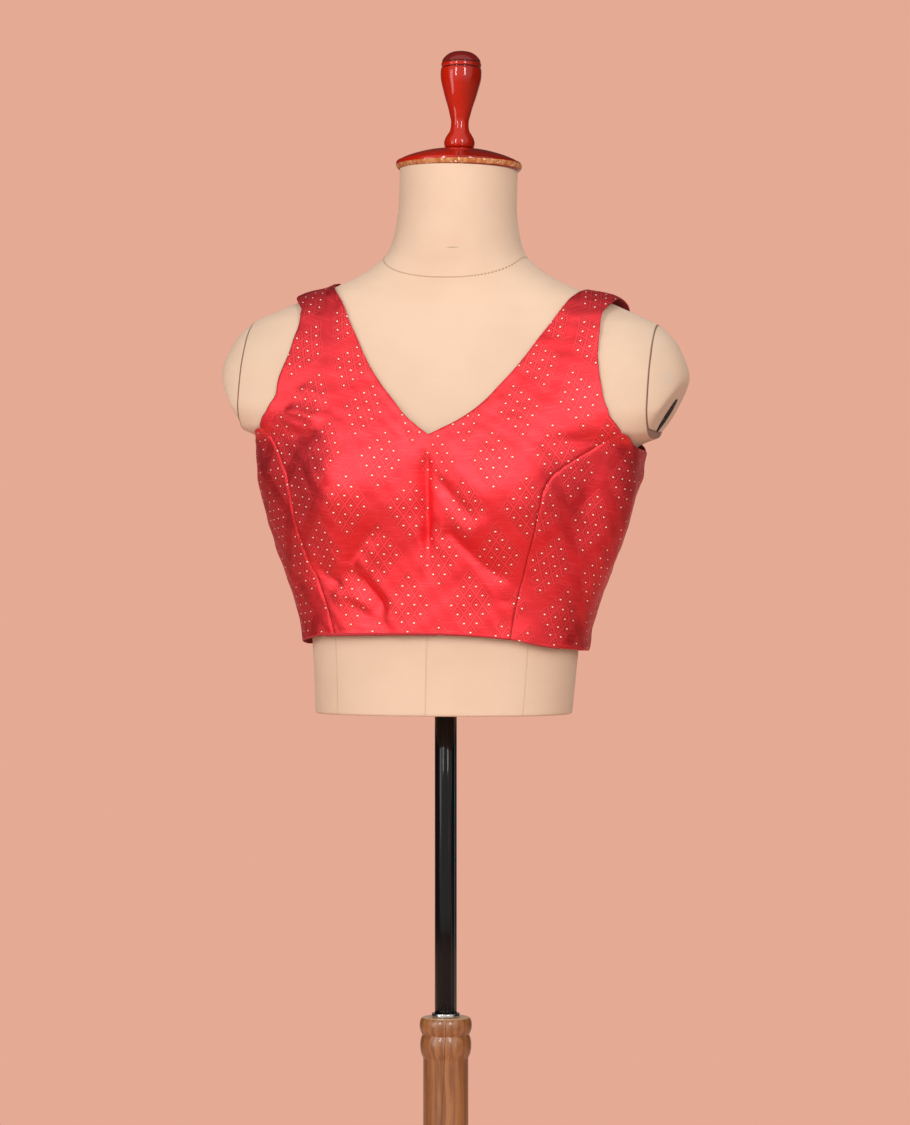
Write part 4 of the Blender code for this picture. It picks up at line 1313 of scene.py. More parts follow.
    def part(self, name: str, end: Side | None, calico: Material) -> Piece:
        """The torso, or one arm end.

        Args:
            name: the solid that it stands for.
            end: the arm end's side, or None for the torso.
            calico: its finish.

        Returns:
            The piece.
        """
        mesh = self.mesh(name, end)
        with opened(mesh) as shape:
            if end is None:
                for side in Side:
                    self.cut(shape, self.arm_seam * side.value, side.value)
            else:
                self.cut(shape, (self.arm_seam + self.gap) * end.value, -end.value)
            cap(shape)
        mesh.shade_smooth()
        mesh.set_sharp_from_angle(angle=self.crease_angle)
        places = coordinates(mesh)
        up = places[:, 2] - self.shape.bottom
        across = places[:, 0] * np.cos(self.shape.lean) - up * np.sin(self.shape.lean)
        store(mesh, "arm_seam", np.abs(np.abs(across) - self.arm_seam))
        return add_piece(f"form_{name}", mesh, calico, "cream_calico", name)

    def plate(self, side: Side, iron: Material) -> None:
        """The slotted plate on an arm end: an oval with a rounded rim and two slots.

        The outline is (a sin t, b cos t). From the rim inwards the height is
        h * (rim + (1 - rim) * (1 - (1 - s)^4)), less the slots' depth.

        Args:
            side: the arm end's side.
            iron: its finish.
        """
        width, length, thick = self.plate_size
        ring = np.linspace(0.0, 2 * np.pi, self.plate_points, endpoint=False)[None, :]
        inset = np.concatenate([[0.0], np.linspace(0.0, 1.0, self.plate_rings)])[:, None]
        scale = 1.0 - inset
        across = scale * np.sin(ring) * width / 2
        along = scale * np.cos(ring) * length / 2
        height = thick * (self.plate_rim + (1 - self.plate_rim) * (1 - (1 - inset) ** 4))
        beside = 1 - soft_step(np.abs(np.abs(across) - self.slot_side), *self.slot_across)
        slot = beside * (1 - soft_step(np.abs(along), *self.slot_along))
        height = height - self.slot_depth * slot
        height[0] = 0.0
        centre, out = self.end_plane(side)
        along_axis = np.array((np.sin(self.end_tilt) * side.value, 0.0, np.cos(self.end_tilt)))
        points = (
            centre
            + out * self.gap
            + across[..., None] * np.array((0.0, 1.0, 0.0)) * side.value
            + along[..., None] * along_axis
            + height[..., None] * out
        )
        name = f"arm_fitting_{side.label}"
        mesh = sealed(name, self.shape.leaned(points))
        mesh.set_sharp_from_angle(angle=self.plate_crease)
        add_piece(f"form_{name}", mesh, iron, "dark_iron", name)

    def build(self, calico: Material, iron: Material) -> None:
        """Make the torso, the arm ends and their plates."""
        self.part("torso", None, calico)
        for side in Side:
            self.part(f"arm_end_{side.label}", side, calico)
            self.plate(side, iron)


# The stand


@dataclass
class Stand:
    """The cap and finial above, and the pole, ferrule, post, hub and legs below."""

    form: FormShape = field(default_factory=FormShape)
    finial: Rows = (
        (0.0000, 1.4749), (0.0110, 1.4749), (0.0124, 1.4754), (0.0134, 1.4764),
        (0.0139, 1.4788), (0.0139, 1.4808), (0.0130, 1.4840), (0.0110, 1.4876),
        (0.0094, 1.4898), (0.0086, 1.4920), (0.0081, 1.4950), (0.0080, 1.4985),
        (0.0083, 1.5012), (0.0090, 1.5036), (0.0098, 1.5070), (0.0108, 1.5109),
        (0.0122, 1.5155), (0.0137, 1.5200), (0.0150, 1.5245), (0.0162, 1.5290),
        (0.0173, 1.5330), (0.0182, 1.5370), (0.0185, 1.5400), (0.0186, 1.5430),
        (0.0185, 1.5455), (0.0182, 1.5472), (0.0179, 1.5478), (0.0173, 1.5481),
        (0.0173, 1.5484), (0.0178, 1.5488), (0.0181, 1.5498), (0.0181, 1.5514),
        (0.0179, 1.5522), (0.0172, 1.5526), (0.0172, 1.5529), (0.0176, 1.5533),
        (0.0174, 1.5544), (0.0166, 1.5560), (0.0152, 1.5578), (0.0132, 1.5597),
        (0.0108, 1.5613), (0.0080, 1.5624), (0.0050, 1.5630), (0.0025, 1.5632), (0.0000, 1.5633),
    )
    neck_cap: Rows = (
        (0.0000, 1.4553), (0.0545, 1.4553), (0.0552, 1.4556), (0.0561, 1.4566),
        (0.0568, 1.4580), (0.0572, 1.4598), (0.0571, 1.4612), (0.0566, 1.4622),
        (0.0557, 1.4629), (0.0548, 1.4630), (0.0542, 1.4634), (0.0520, 1.4648),
        (0.0470, 1.4670), (0.0420, 1.4688), (0.0355, 1.4708), (0.0286, 1.4725),
        (0.0210, 1.4738), (0.0146, 1.4746), (0.0000, 1.4746),
    )
    post: Rows = (
        (0.0000, 0.2453), (0.0198, 0.2453), (0.0205, 0.2460), (0.0205, 0.4000),
        (0.0205, 0.6000), (0.0205, 0.6490), (0.0206, 0.6502), (0.0211, 0.6514),
        (0.0219, 0.6532), (0.0226, 0.6556), (0.0231, 0.6586), (0.0233, 0.6618),
        (0.0231, 0.6650), (0.0226, 0.6676), (0.0219, 0.6698), (0.0214, 0.6708),
        (0.0212, 0.6713), (0.0214, 0.6718), (0.0222, 0.6730), (0.0230, 0.6750),
        (0.0236, 0.6774), (0.0238, 0.6800), (0.0236, 0.6824), (0.0230, 0.6846),
        (0.0221, 0.6861), (0.0210, 0.6869), (0.0202, 0.6870), (0.0000, 0.6870),
    )
    pole: Rows = (
        (0.0000, 0.6873), (0.0096, 0.6873), (0.0100, 0.6877), (0.0100, 0.7800),
        (0.0100, 0.8700), (0.0100, 0.9623), (0.0097, 0.9627), (0.0000, 0.9627),
    )
    ferrule: Rows = (
        (0.0103, 0.6873), (0.0123, 0.6873), (0.0127, 0.6876), (0.0128, 0.6882),
        (0.0128, 0.6900), (0.0125, 0.6906), (0.0118, 0.6908), (0.0107, 0.6908),
        (0.0103, 0.6905), (0.0103, 0.6873),
    )
    hub_half: Triple = (0.030, 0.030, 0.0675)
    hub_middle: float = 0.1775
    hub_round: float = 0.004
    leg_count: int = 4
    leg_start: float = 0.0303
    leg_end: float = 0.280
    leg_half: float = 0.013
    leg_top: float = 0.232
    leg_shoulder: float = 0.122
    leg_top_run: float = 0.215
    leg_under_run: float = 0.205
    foot_height: float = 0.034
    toe_radius: float = 0.020
    leg_round: float = 0.003
    leg_first: tuple[float, ...] = (0.0, 0.0016, 0.0048, 0.0088)
    leg_rest: Pair = (0.016, 34)
    toe_turn: Pair = (np.pi / 2, 0.05)
    toe_points: int = 12
    sole_start: float = 0.006
    corner_points: int = 6
    crease_angle: float = float(np.radians(50))

    def turn(self, name: str, profile: Rows, finish: Material, slot: str, leaning: bool) -> None:
        """Make one turned piece.

        Args:
            name: the solid that it stands for.
            profile: radius and height, up the outer side.
            finish: its material.
            slot: the name of a material slot, passed on to add_piece.
            leaning: whether it leans with the form.
        """
        grid = turned(profile)
        mesh = mesh_of(f"stand_{name}", [self.form.leaned(grid) if leaning else grid], closed=True)
        merged(mesh)
        mesh.set_sharp_from_angle(angle=self.crease_angle)
        add_piece(mesh.name, mesh, finish, slot, name)

    def corner_turns(self) -> tuple[Array, Array, Array]:
        """Angles round a rectangle's four round corners, and each one's signs across and up."""
        quarter = np.linspace(0.0, np.pi / 2, self.corner_points)
        angle = np.concatenate([quarter + turn * np.pi / 2 for turn in range(4)])
        right, over = np.repeat(((1.0, -1.0, -1.0, 1.0), (1.0, 1.0, -1.0, -1.0)), len(quarter), axis=1)
        return angle, right, over

    def rounded_section(self, across: float, up: Array, radius: float) -> Array:
        """An upright rectangle with round corners, for each half height.

        A corner's point is the corner's middle plus radius * (cos a, sin a).

        Args:
            across: half width.
            up: half heights.
            radius: the corners' radius.

        Returns:
            Across and up distances, a row for each half height.
        """
        angle, right, over = self.corner_turns()
        wide = right * (across - radius) + radius * np.cos(angle)
        return stacked(wide, over * (up[:, None] - radius) + radius * np.sin(angle))

    def hub(self, wood: Material) -> None:
        """The square block that the post and the legs join: a rounded box.

        A point is the box's core corner plus radius * (cos b cos a, cos b sin a, sin b).
        """
        angle, right, front = self.corner_turns()
        quarter = angle[: self.corner_points]
        tilt = np.concatenate([quarter - np.pi / 2, quarter])[:, None]
        over = np.repeat((-1.0, 1.0), len(quarter))[:, None]
        core = np.array(self.hub_half) - self.hub_round
        grid = stacked(
            right * core[0] + self.hub_round * np.cos(tilt) * np.cos(angle),
            front * core[1] + self.hub_round * np.cos(tilt) * np.sin(angle),
            over * core[2] + self.hub_round * np.sin(tilt) + self.hub_middle,
        )
        self.finished("hub", grid, wood)

    def leg(self, number: int, wood: Material) -> None:
        """One curved leg, as rounded sections from the hub to the toe.

        The top falls as foot + (top - foot) * (1 + cos(pi t)) / 2 and the underside as
        shoulder * (1 + cos(pi t)) / 2. Near an end the section draws in by
        r - sqrt(r^2 - (r - d)^2) at a distance d from it.

        Args:
            number: 1 to leg_count; the first points to the form's left.
            wood: its finish.
        """
        share = np.concatenate([self.leg_first, np.linspace(self.leg_rest[0], 1.0, self.leg_rest[1])])
        fall = (1 + np.cos(np.pi * share)) / 2
        drop = self.leg_top - self.foot_height
        upper = stacked(self.leg_start + self.leg_top_run * share, self.foot_height + drop * fall)
        under = stacked(self.leg_start + self.leg_under_run * share, self.leg_shoulder * fall)
        turn = np.linspace(*self.toe_turn, self.toe_points)
        toe = stacked(
            self.leg_end - self.toe_radius + self.toe_radius * np.cos(turn),
            self.foot_height - self.toe_radius + self.toe_radius * np.sin(turn),
        )
        sole = stacked(np.linspace(under[-1, 0] + self.sole_start, self.leg_end, self.toe_points), 0.0)
        upper, under = np.vstack([upper, toe]), np.vstack([under, sole])
        middle, half = (upper + under) / 2, (upper - under) / 2
        length = np.linalg.norm(half, axis=1)
        run = run_along(middle)
        end = np.clip(np.minimum(run, run[-1] - run) / self.leg_round, 0.0, 1.0)
        inset = self.leg_round * (1 - np.sqrt(1 - (1 - end) ** 2))
        section = self.rounded_section(self.leg_half, length, self.leg_round)
        section = section * (1 - inset[:, None, None] / stacked(self.leg_half, length)[:, None])
        axis = half / length[:, None]
        along = middle[:, None, :] + section[..., 1:] * axis[:, None, :]
        heading = 2 * np.pi * (number - 1) / self.leg_count
        grid = stacked(
            along[..., 0] * np.cos(heading) - section[..., 0] * np.sin(heading),
            along[..., 0] * np.sin(heading) + section[..., 0] * np.cos(heading),
            along[..., 1],
        )
        self.finished(f"leg_{number}", grid, wood)

    def finished(self, name: str, grid: Array, wood: Material) -> None:
        """Close a grid of rounded sections and add it as a wooden piece.

        Args:
            name: the solid that it stands for.
            grid: its points.
            wood: its finish.
        """
        mesh = sealed(f"stand_{name}", grid)
        piece = add_piece(mesh.name, mesh, wood, "varnished_wood", name)
        piece.modifiers.new("Even shading", "WEIGHTED_NORMAL").keep_sharp = True

    def build(self, finishes: "Finishes") -> None:
        """Make every piece of the stand."""
        for name, finish, slot, leaning in (
            ("finial", finishes.lacquer, "red_lacquer", True),
            ("neck_cap", finishes.lacquer, "red_lacquer", True),
            ("post", finishes.wood, "varnished_wood", False),
            ("pole", finishes.enamel, "black_enamel", False),
            ("ferrule", finishes.steel, "bright_steel", False),
        ):
            self.turn(name, getattr(self, name), finish, slot, leaning)
        self.hub(finishes.wood)
        for number in range(1, self.leg_count + 1):
            self.leg(number, finishes.wood)


# Finishes


Value = Socket | float | tuple[float, ...]


class Board:
    """Adds nodes to one tree: sockets or numbers go in, sockets come out."""

    def __init__(self, tree: bpy.types.NodeTree) -> None:
        """Start on a tree."""
        self.tree = tree

    def feed(self, socket: Socket, value: Value) -> None:
        """Link a socket to another one, or set its number."""
        if isinstance(value, Socket):
            self.tree.links.new(value, socket)
        elif isinstance(value, tuple) and socket.type == "RGBA":
            socket.default_value = (*value, 1.0)
        else:
            socket.default_value = value

    def add(self, kind: str, inputs: dict[str, Value] | None = None, **settings: str) -> bpy.types.Node:
        """Add one node.

        Args:
            kind: the node's type, after ShaderNode.
            inputs: values for named inputs.
            settings: the node's own options.

        Returns:
            The node.
        """
        node = self.tree.nodes.new(f"ShaderNode{kind}")
        for name, value in settings.items():
            setattr(node, name, value)
        for name, value in (inputs or {}).items():
            self.feed(node.inputs[name], value)
        return node

    def math(self, operation: str, *values: Value) -> Socket:
        """A sum of the named kind on one to three numbers."""
        node = self.add("Math", operation=operation)
        for socket, value in zip(node.inputs, values):
            self.feed(socket, value)
        return node.outputs[0]

    def times(self, *values: Value) -> Socket:
        """One number multiplied by another."""
        return self.math("MULTIPLY", *values)

    def plus(self, *values: Value) -> Socket:
        """One number added to another."""
        return self.math("ADD", *values)

    def minus(self, *values: Value) -> Socket:
        """One number less another."""
        return self.math("SUBTRACT", *values)

    def fall(self, value: Value, start: float, end: float) -> Socket:
        """A smooth step from 1 at start to 0 at end."""
        return self.minus(1.0, self.step(value, start, end))

    def step(self, value: Value, start: float, end: float) -> Socket:
        """A smooth step from 0 at start to 1 at end."""
        inputs = {"Value": value, "From Min": start, "From Max": end}
        return self.add("MapRange", inputs, interpolation_type="SMOOTHSTEP").outputs["Result"]

    def mix(self, share: Value, first: Value, second: Value) -> Socket:
        """A colour between two."""
        node = self.add("Mix", data_type="RGBA")
        for index, value in ((0, share), (6, first), (7, second)):
            self.feed(node.inputs[index], value)
        return node.outputs[2]

    def blend(self, share: Value, first: Value, second: Value) -> Socket:
        """A number between two."""
        node = self.add("Mix", data_type="FLOAT")
        for index, value in ((0, share), (2, first), (3, second)):
            self.feed(node.inputs[index], value)
        return node.outputs[0]

    def scaled(self, vector: Socket, scale: Triple) -> Socket:
        """A place with each coordinate scaled."""
        node = self.add("VectorMath", operation="MULTIPLY")
        self.feed(node.inputs[0], vector)
        node.inputs[1].default_value = scale
        return node.outputs[0]

    def noise(self, vector: Value, detail: float = 2.0) -> Socket:
        """Soft noise about 0.5, at the vector's own scale."""
        inputs = {"Vector": vector, "Scale": 1.0, "Detail": detail}
        return self.add("TexNoise", inputs).outputs[0]

    def parts(self, vector: Socket) -> list[Socket]:
        """A place's three coordinates."""
        return list(self.add("SeparateXYZ", {"Vector": vector}).outputs)

    def stored(self, name: str) -> Socket:
        """A number kept on the mesh's points."""
        return self.add("Attribute", attribute_name=name).outputs["Fac"]


class Paint(Board):
    """The board of a new material, with its shader at hand."""

    def __init__(self, name: str) -> None:
        """Make the material."""
        self.material = bpy.data.materials.new(name)
        self.material.use_nodes = True
        super().__init__(self.material.node_tree)
        self.shader = self.tree.nodes["Principled BSDF"]

    def put(self, label: str, value: Value) -> None:
        """Feed one of the shader's inputs."""
        self.feed(self.shader.inputs[label], value)

    def place(self) -> Socket:
        """The place in the object's own metres."""
        return self.add("TexCoord").outputs["Object"]

    def cut_place(self) -> Socket:
        """The place on the flat panel, in metres."""
        return self.add("UVMap", uv_map="cut").outputs[0]

    def bump(self, height: Value, distance: float) -> None:
        """Raise the surface by a height, counted in a distance in metres."""
        bump = self.add("Bump", {"Height": height, "Distance": distance, "Strength": 1.0})
        self.put("Normal", bump.outputs["Normal"])


class Effect:
    """A shared node group with named inputs and outputs."""

    def __init__(self, name: str, inputs: dict[str, str], outputs: dict[str, str]) -> None:
        """Make the group's tree and its two ends.

        Args:
            name: the group's name.
            inputs: socket kinds by name.
            outputs: socket kinds by name.
        """
        self.tree = bpy.data.node_groups.new(name, "ShaderNodeTree")
        for way, sockets in (("INPUT", inputs), ("OUTPUT", outputs)):
            for label, kind in sockets.items():
                self.tree.interface.new_socket(label, in_out=way, socket_type=f"NodeSocket{kind}")
        self.board = Board(self.tree)
        self.given = self.tree.nodes.new("NodeGroupInput").outputs
        self.made = self.tree.nodes.new("NodeGroupOutput").inputs

    def give(self, **values: Socket) -> None:
        """Link sockets to the group's outputs by name."""
        for name, value in values.items():
            self.board.feed(self.made[name], value)

    def on(self, board: Board, **inputs: Value) -> bpy.types.bpy_prop_collection:
        """Place the group on a material's board.

        Args:
            board: where it goes.
            inputs: values by socket name.

        Returns:
            Its outputs.
        """
        node = board.add("Group")
        node.node_tree = self.tree
        for name, value in inputs.items():
            board.feed(node.inputs[name], value)
        return node.outputs


# The brocade's measures, in millimetres, and the lines in a small lozenge
REPEAT: Pair = (55.0, 88.0)
LOZENGE: Pair = (11.0, 16.2)
LOZENGE_LINES = 5.0
DOT: Pair = (1.80, 1.15)
# Heights of the finial's grooves, and between which its dome, the cap's bare rim, that
# rim's foot and the post's top begin
GROOVES: Pair = (1.5482, 1.5527)
DOME: Pair = (1.5523, 1.5530)
BARE_RIM: Pair = (1.4594, 1.4606)
RIM_FOOT: Pair = (1.4545, 1.4560)
POST_TOP: Pair = (0.6862, 0.6869)
# The post's glue line runs at across = slope * up + start
GLUE_LINE: Pair = (0.0555, -0.0328)
# Across place of the thin teal line painted on the pole as a painted reflection
POLE_REFLECTION = 0.0092
# Length of a stitch of the upright seams, and stitches of the neck seam in a turn of 2 pi
SEAM_STITCH = 0.0024
NECK_STITCHES = 150.0
# Middle and reach of each mark on the calico, its strength and its colour
STAINS = (
    ((0.209, -0.062, 1.262), (0.010, 0.050, 0.010), 0.30, (0.50, 0.47, 0.45)),
    ((0.199, -0.050, 1.300), (0.020, 0.060, 0.014), 0.18, (0.60, 0.50, 0.42)),
    ((0.018, -0.060, 1.3800), (0.008, 0.050, 0.0006), 0.75, (0.25, 0.16, 0.12)),
    ((-0.165, -0.080, 1.290), (0.022, 0.060, 0.018), 0.18, (0.62, 0.50, 0.36)),
)


def weave_effect() -> Effect:
    """Plain weave: threads that cross over and under, with uneven slubs.

    Height is sin(u) * sin(v) at the thread count, plus noise stretched along the weft.
    """
    effect = Effect(
        "Weave",
        {"Place": "Vector", "Threads": "Float", "Slub": "Float"},
        {"Height": "Float", "Slubs": "Float", "Mottle": "Float"},
    )
    board, given = effect.board, effect.given
    across, up, _ = board.parts(given["Place"])
    count = board.times(given["Threads"], 2 * np.pi)
    waves = [board.math("SINE", board.times(part, count)) for part in (across, up)]
    crossing = board.times(*waves)
    slubs = board.noise(board.scaled(given["Place"], (38.0, 1500.0, 38.0)), 1.0)
    raised = board.times(board.minus(slubs, 0.5), given["Slub"])
    effect.give(
        Height=board.plus(board.times(crossing, 0.5), raised),
        Slubs=slubs,
        Mottle=board.noise(board.scaled(given["Place"], (14.0, 14.0, 14.0)), 3.0),
    )
    return effect


def figure_effect() -> Effect:
    """Brocade figure in half-drop repeat: lozenges of four by four small lozenges.

    With x and y wrapped in one repeat, p = x / a + y / b and q = y / b - x / a number
    the small lozenges, the figure is where max(|p|, |q|) < 2, its twill lines are
    sin(2 pi n max(|p - round|, |q - round|)), and each small lozenge holds a dot.
    """
    effect = Effect(
        "Brocade figure",
        {"Place": "Vector"},
        {"Figure": "Float", "Lines": "Float", "Dot": "Float"},
    )
    board = effect.board
    across, up, _ = board.parts(board.scaled(effect.given["Place"], (1000.0, 1000.0, 1.0)))
    found = []
    for shift_across, shift_up in ((0.0, 0.0), (REPEAT[0] / 2, REPEAT[1] / 2)):
        x, y = (
            board.math("WRAP", board.minus(part, shift), size / 2, -size / 2)
            for part, shift, size in zip((across, up), (shift_across, shift_up), REPEAT)
        )
        x, y = (board.math("DIVIDE", part, size) for part, size in zip((x, y), LOZENGE))
        p, q = board.plus(x, y), board.minus(y, x)
        reach = board.math("MAXIMUM", board.math("ABSOLUTE", p), board.math("ABSOLUTE", q))
        found.append((p, q, reach))
    second = board.math("LESS_THAN", found[1][2], found[0][2])
    p, q, reach = (board.blend(second, *pair) for pair in zip(*found))
    p, q = (board.minus(board.math("FRACT", part), 0.5) for part in (p, q))
    ring = board.math("MAXIMUM", board.math("ABSOLUTE", p), board.math("ABSOLUTE", q))
    lines = board.math("SINE", board.times(ring, 2 * np.pi * LOZENGE_LINES))
    wide = board.times(board.minus(p, q), LOZENGE[0] / DOT[0])
    high = board.times(board.plus(p, q), LOZENGE[1] / DOT[1])
    squares = [board.math("POWER", part, 2.0) for part in (wide, high)]
    apart = board.math("SQRT", board.plus(*squares))
    inside = board.fall(reach, 1.96, 2.04)
    dot = board.times(inside, board.fall(apart, 0.8, 1.15))
    effect.give(Figure=inside, Lines=lines, Dot=dot)
    return effect


def grain_effect() -> Effect:
    """Wood grain along Z: long streaks and pores, by noise stretched upwards."""
    effect = Effect("Grain", {"Place": "Vector"}, {"Streaks": "Float", "Pores": "Float"})
    board = effect.board
    bent = board.add("VectorMath", operation="ADD")
    board.feed(bent.inputs[0], effect.given["Place"])
    wander = board.add("TexNoise", {"Vector": effect.given["Place"], "Scale": 9.0})
    shift = board.scaled(wander.outputs["Color"], (0.012, 0.012, 0.0))
    board.feed(bent.inputs[1], shift)
    effect.give(
        Streaks=board.noise(board.scaled(bent.outputs[0], (260.0, 260.0, 7.0)), 4.0),
        Pores=board.noise(board.scaled(bent.outputs[0], (1700.0, 1700.0, 60.0)), 1.0),
    )
    return effect


def wear_effect() -> Effect:
    """Wear: small chips and scuffs, where noise is above a level set by the amount."""
    effect = Effect("Wear", {"Place": "Vector", "Amount": "Float"}, {"Chips": "Float", "Scuffs": "Float"})
    board, given = effect.board, effect.given
    level = board.minus(0.78, board.times(given["Amount"], 0.3))
    chips = board.noise(board.scaled(given["Place"], (420.0, 420.0, 420.0)), 3.0)
    scuffs = board.noise(board.scaled(given["Place"], (90.0, 90.0, 700.0)), 4.0)
    over = board.minus(chips, level)
    effect.give(Chips=board.step(over, 0.0, 0.03), Scuffs=board.step(scuffs, 0.45, 0.75))
    return effect


@dataclass(frozen=True)
class Surface:
    """The values of a material that are the same all over it."""

    roughness: float = 0.5
    metallic: float = 0.0
    sheen: float = 0.0
    sheen_roughness: float = 0.5
    sheen_tint: Triple = (1.0, 1.0, 1.0)
    coat: float = 0.0
    coat_roughness: float = 0.05
    ior: float = 1.5
    specular: float = 0.5
    anisotropic: float = 0.0

    sockets = (
        "Roughness", "Metallic", "Sheen Weight", "Sheen Roughness", "Sheen Tint", "Coat Weight",
        "Coat Roughness", "IOR", "Specular IOR Level", "Anisotropic",
    )

    def start(self, name: str) -> Paint:
        """A new material's board, with these values on its shader."""
        board = Paint(name)
        for label, value in zip(self.sockets, astuple(self), strict=True):
            board.put(label, value)
        return board


class Finishes:
    """Every finish of the object, made once."""

    def __init__(self) -> None:
        """Build the shared effects, then the materials."""
        self.weave = weave_effect()
        self.figure = figure_effect()
        self.grain = grain_effect()
        self.wear = wear_effect()
        self.silk = self.make_silk()
        self.lining = self.make_lining()
        self.calico = self.make_calico()
        self.lacquer = self.make_lacquer()
        self.wood = self.make_wood()
        self.enamel = self.make_enamel()
        self.steel = self.make_steel()
        self.iron = self.make_iron()

    def make_silk(self) -> Material:
        """Red silk brocade: shining satin ground, dull twill figure, pale gold dots."""
        surface = Surface(
            metallic=0.6,
            sheen=0.04,
            sheen_roughness=0.45,
            sheen_tint=(1.0, 0.35, 0.35),
            coat=0.12,
            coat_roughness=0.5,
        )
        board = surface.start("Red brocade")
        place = board.cut_place()
        weave = self.weave.on(board, Place=place, Threads=1400.0, Slub=1.6)
        figure = self.figure.on(board, Place=place)
        lines = board.math("MULTIPLY_ADD", figure["Lines"], 0.5, 0.5)
        lines = board.times(lines, figure["Figure"])
        mottle = board.step(weave["Mottle"], 0.35, 0.65)
        ground = board.mix(mottle, (0.86, 0.034, 0.046), (0.93, 0.046, 0.060))
        slub = board.step(weave["Slubs"], 0.60, 0.70)
        ground = board.mix(board.times(slub, 0.6), ground, (0.98, 0.085, 0.100))
        woven = board.mix(lines, (0.64, 0.018, 0.026), (0.95, 0.066, 0.080))
        colour = board.mix(figure["Figure"], ground, woven)
        colour = board.mix(figure["Dot"], colour, (1.0, 0.90, 0.72))
        board.put("Base Color", colour)
        dull = board.times(figure["Figure"], 0.08)
        dull = board.math("MAXIMUM", dull, board.times(slub, 0.3))
        metal = board.minus(0.92, dull)
        board.put("Metallic", board.blend(figure["Dot"], metal, 0.25))
        rough = board.blend(figure["Figure"], 0.40, 0.48)
        board.put("Roughness", board.blend(figure["Dot"], rough, 0.50))
        height = board.plus(weave["Height"], board.times(lines, 1.5))
        height = board.plus(height, board.times(figure["Dot"], 1.5))
        board.bump(height, 0.00006)
        return board.material

    def make_lining(self) -> Material:
        """Plain dull red lining inside the blouse."""
        board = Surface(0.8, sheen=0.1).start("Red lining")
        place = board.cut_place()
        weave = self.weave.on(board, Place=place, Threads=1100.0, Slub=0.8)
        share = board.step(weave["Mottle"], 0.3, 0.7)
        board.put("Base Color", board.mix(share, (0.40, 0.010, 0.018), (0.48, 0.016, 0.026)))
        board.bump(weave["Height"], 0.00008)
        return board.material

    def make_calico(self) -> Material:
        """Unbleached calico of the form, with its stitched seams and small stains."""
        board = Surface(0.85, sheen=0.08, specular=0.3).start("Cream calico")
        place = board.place()
        across, depth, up = board.parts(place)
        swap = board.add("CombineXYZ")
        board.feed(swap.inputs[0], board.plus(across, board.times(depth, 0.6)))
        board.feed(swap.inputs[1], up)
        board.feed(swap.inputs[2], depth)
        weave = self.weave.on(board, Place=swap.outputs[0], Threads=900.0, Slub=0.9)
        mottle = board.step(weave["Mottle"], 0.3, 0.7)
        cloth = board.mix(mottle, (0.635, 0.452, 0.325), (0.672, 0.484, 0.355))
        slub = board.times(board.step(weave["Slubs"], 0.58, 0.72), 0.16)
        cloth = board.mix(slub, cloth, (0.58, 0.402, 0.275))
        dash = board.step(board.math("SINE", board.times(up, 2 * np.pi / SEAM_STITCH)), -0.5, 0.3)
        turn = board.math("ARCTAN2", across, board.times(depth, -1.0))
        dash_round = board.step(board.math("SINE", board.times(turn, NECK_STITCHES)), -0.6, 0.2)
        upright = board.fall(board.stored("upright_seam"), 0.0002, 0.0006)
        neck = board.fall(board.math("ABSOLUTE", board.stored("neck_seam")), 0.00025, 0.0007)
        arm = board.fall(board.stored("arm_seam"), 0.0003, 0.0011)
        for seam, stitch, strength, tone in (
            (upright, dash, 0.45, (0.42, 0.25, 0.16)),
            (neck, dash_round, 0.75, (0.30, 0.16, 0.09)),
        ):
            cloth = board.mix(board.times(board.times(seam, stitch), strength), cloth, tone)
        cloth = board.mix(board.times(arm, 0.8), cloth, (0.16, 0.045, 0.03))
        for middle, size, strength, tone in STAINS:
            apart = board.add("VectorMath", operation="DISTANCE")
            board.feed(apart.inputs[0], board.scaled(place, tuple(1.0 / s for s in size)))
            apart.inputs[1].default_value = tuple(m / s for m, s in zip(middle, size))
            near = board.fall(apart.outputs["Value"], 0.3, 1.0)
            cloth = board.mix(board.times(near, strength), cloth, tone)
        board.put("Base Color", cloth)
        seams = board.math("MAXIMUM", board.math("MAXIMUM", upright, neck), arm)
        height = board.minus(weave["Height"], board.times(seams, 3.0))
        board.bump(height, 0.00009)
        return board.material

    def make_lacquer(self) -> Material:
        """Red lacquer of the cap and finial, worn to bare wood on the cap's rim, with painted shade
        darkening the form's left side.
        """
        surface = Surface(0.25, coat=0.85, coat_roughness=0.03, specular=0.05)
        board = surface.start("Red lacquer")
        place = board.place()
        across, _, up = board.parts(place)
        grain = self.grain.on(board, Place=place)
        wear = self.wear.on(board, Place=place, Amount=0.5)
        # Painted shade: the lacquer of the finial and cap turns darker over the form's left side (+X),
        # where less light falls on it
        side = board.step(across, 0.012, 0.030)
        body = board.mix(side, (0.47, 0.010, 0.001), (0.22, 0.005, 0.001))
        body = board.mix(board.times(grain["Streaks"], 0.5), body, (0.34, 0.014, 0.004))
        body = board.mix(board.step(up, *DOME), body, (0.17, 0.009, 0.008))
        for level in GROOVES:
            near = board.math("ABSOLUTE", board.minus(up, level))
            groove = board.fall(near, 0.0003, 0.0008)
            body = board.mix(groove, body, (0.05, 0.003, 0.002))
        low = board.fall(up, *BARE_RIM)
        bare = board.times(low, board.step(board.plus(wear["Chips"], low), 0.6, 1.0))
        bare = board.times(bare, board.step(up, *RIM_FOOT))
        wood = board.mix(board.step(grain["Streaks"], 0.4, 0.6), (0.42, 0.13, 0.040), (0.54, 0.24, 0.10))
        wood = board.mix(wear["Chips"], wood, (0.80, 0.66, 0.48))
        board.put("Base Color", board.mix(bare, body, wood))
        board.put("Coat Weight", board.math("MULTIPLY_ADD", bare, -0.85, 0.85))
        board.put("Roughness", board.blend(bare, 0.22, 0.6))
        board.bump(grain["Streaks"], 0.00001)
        return board.material

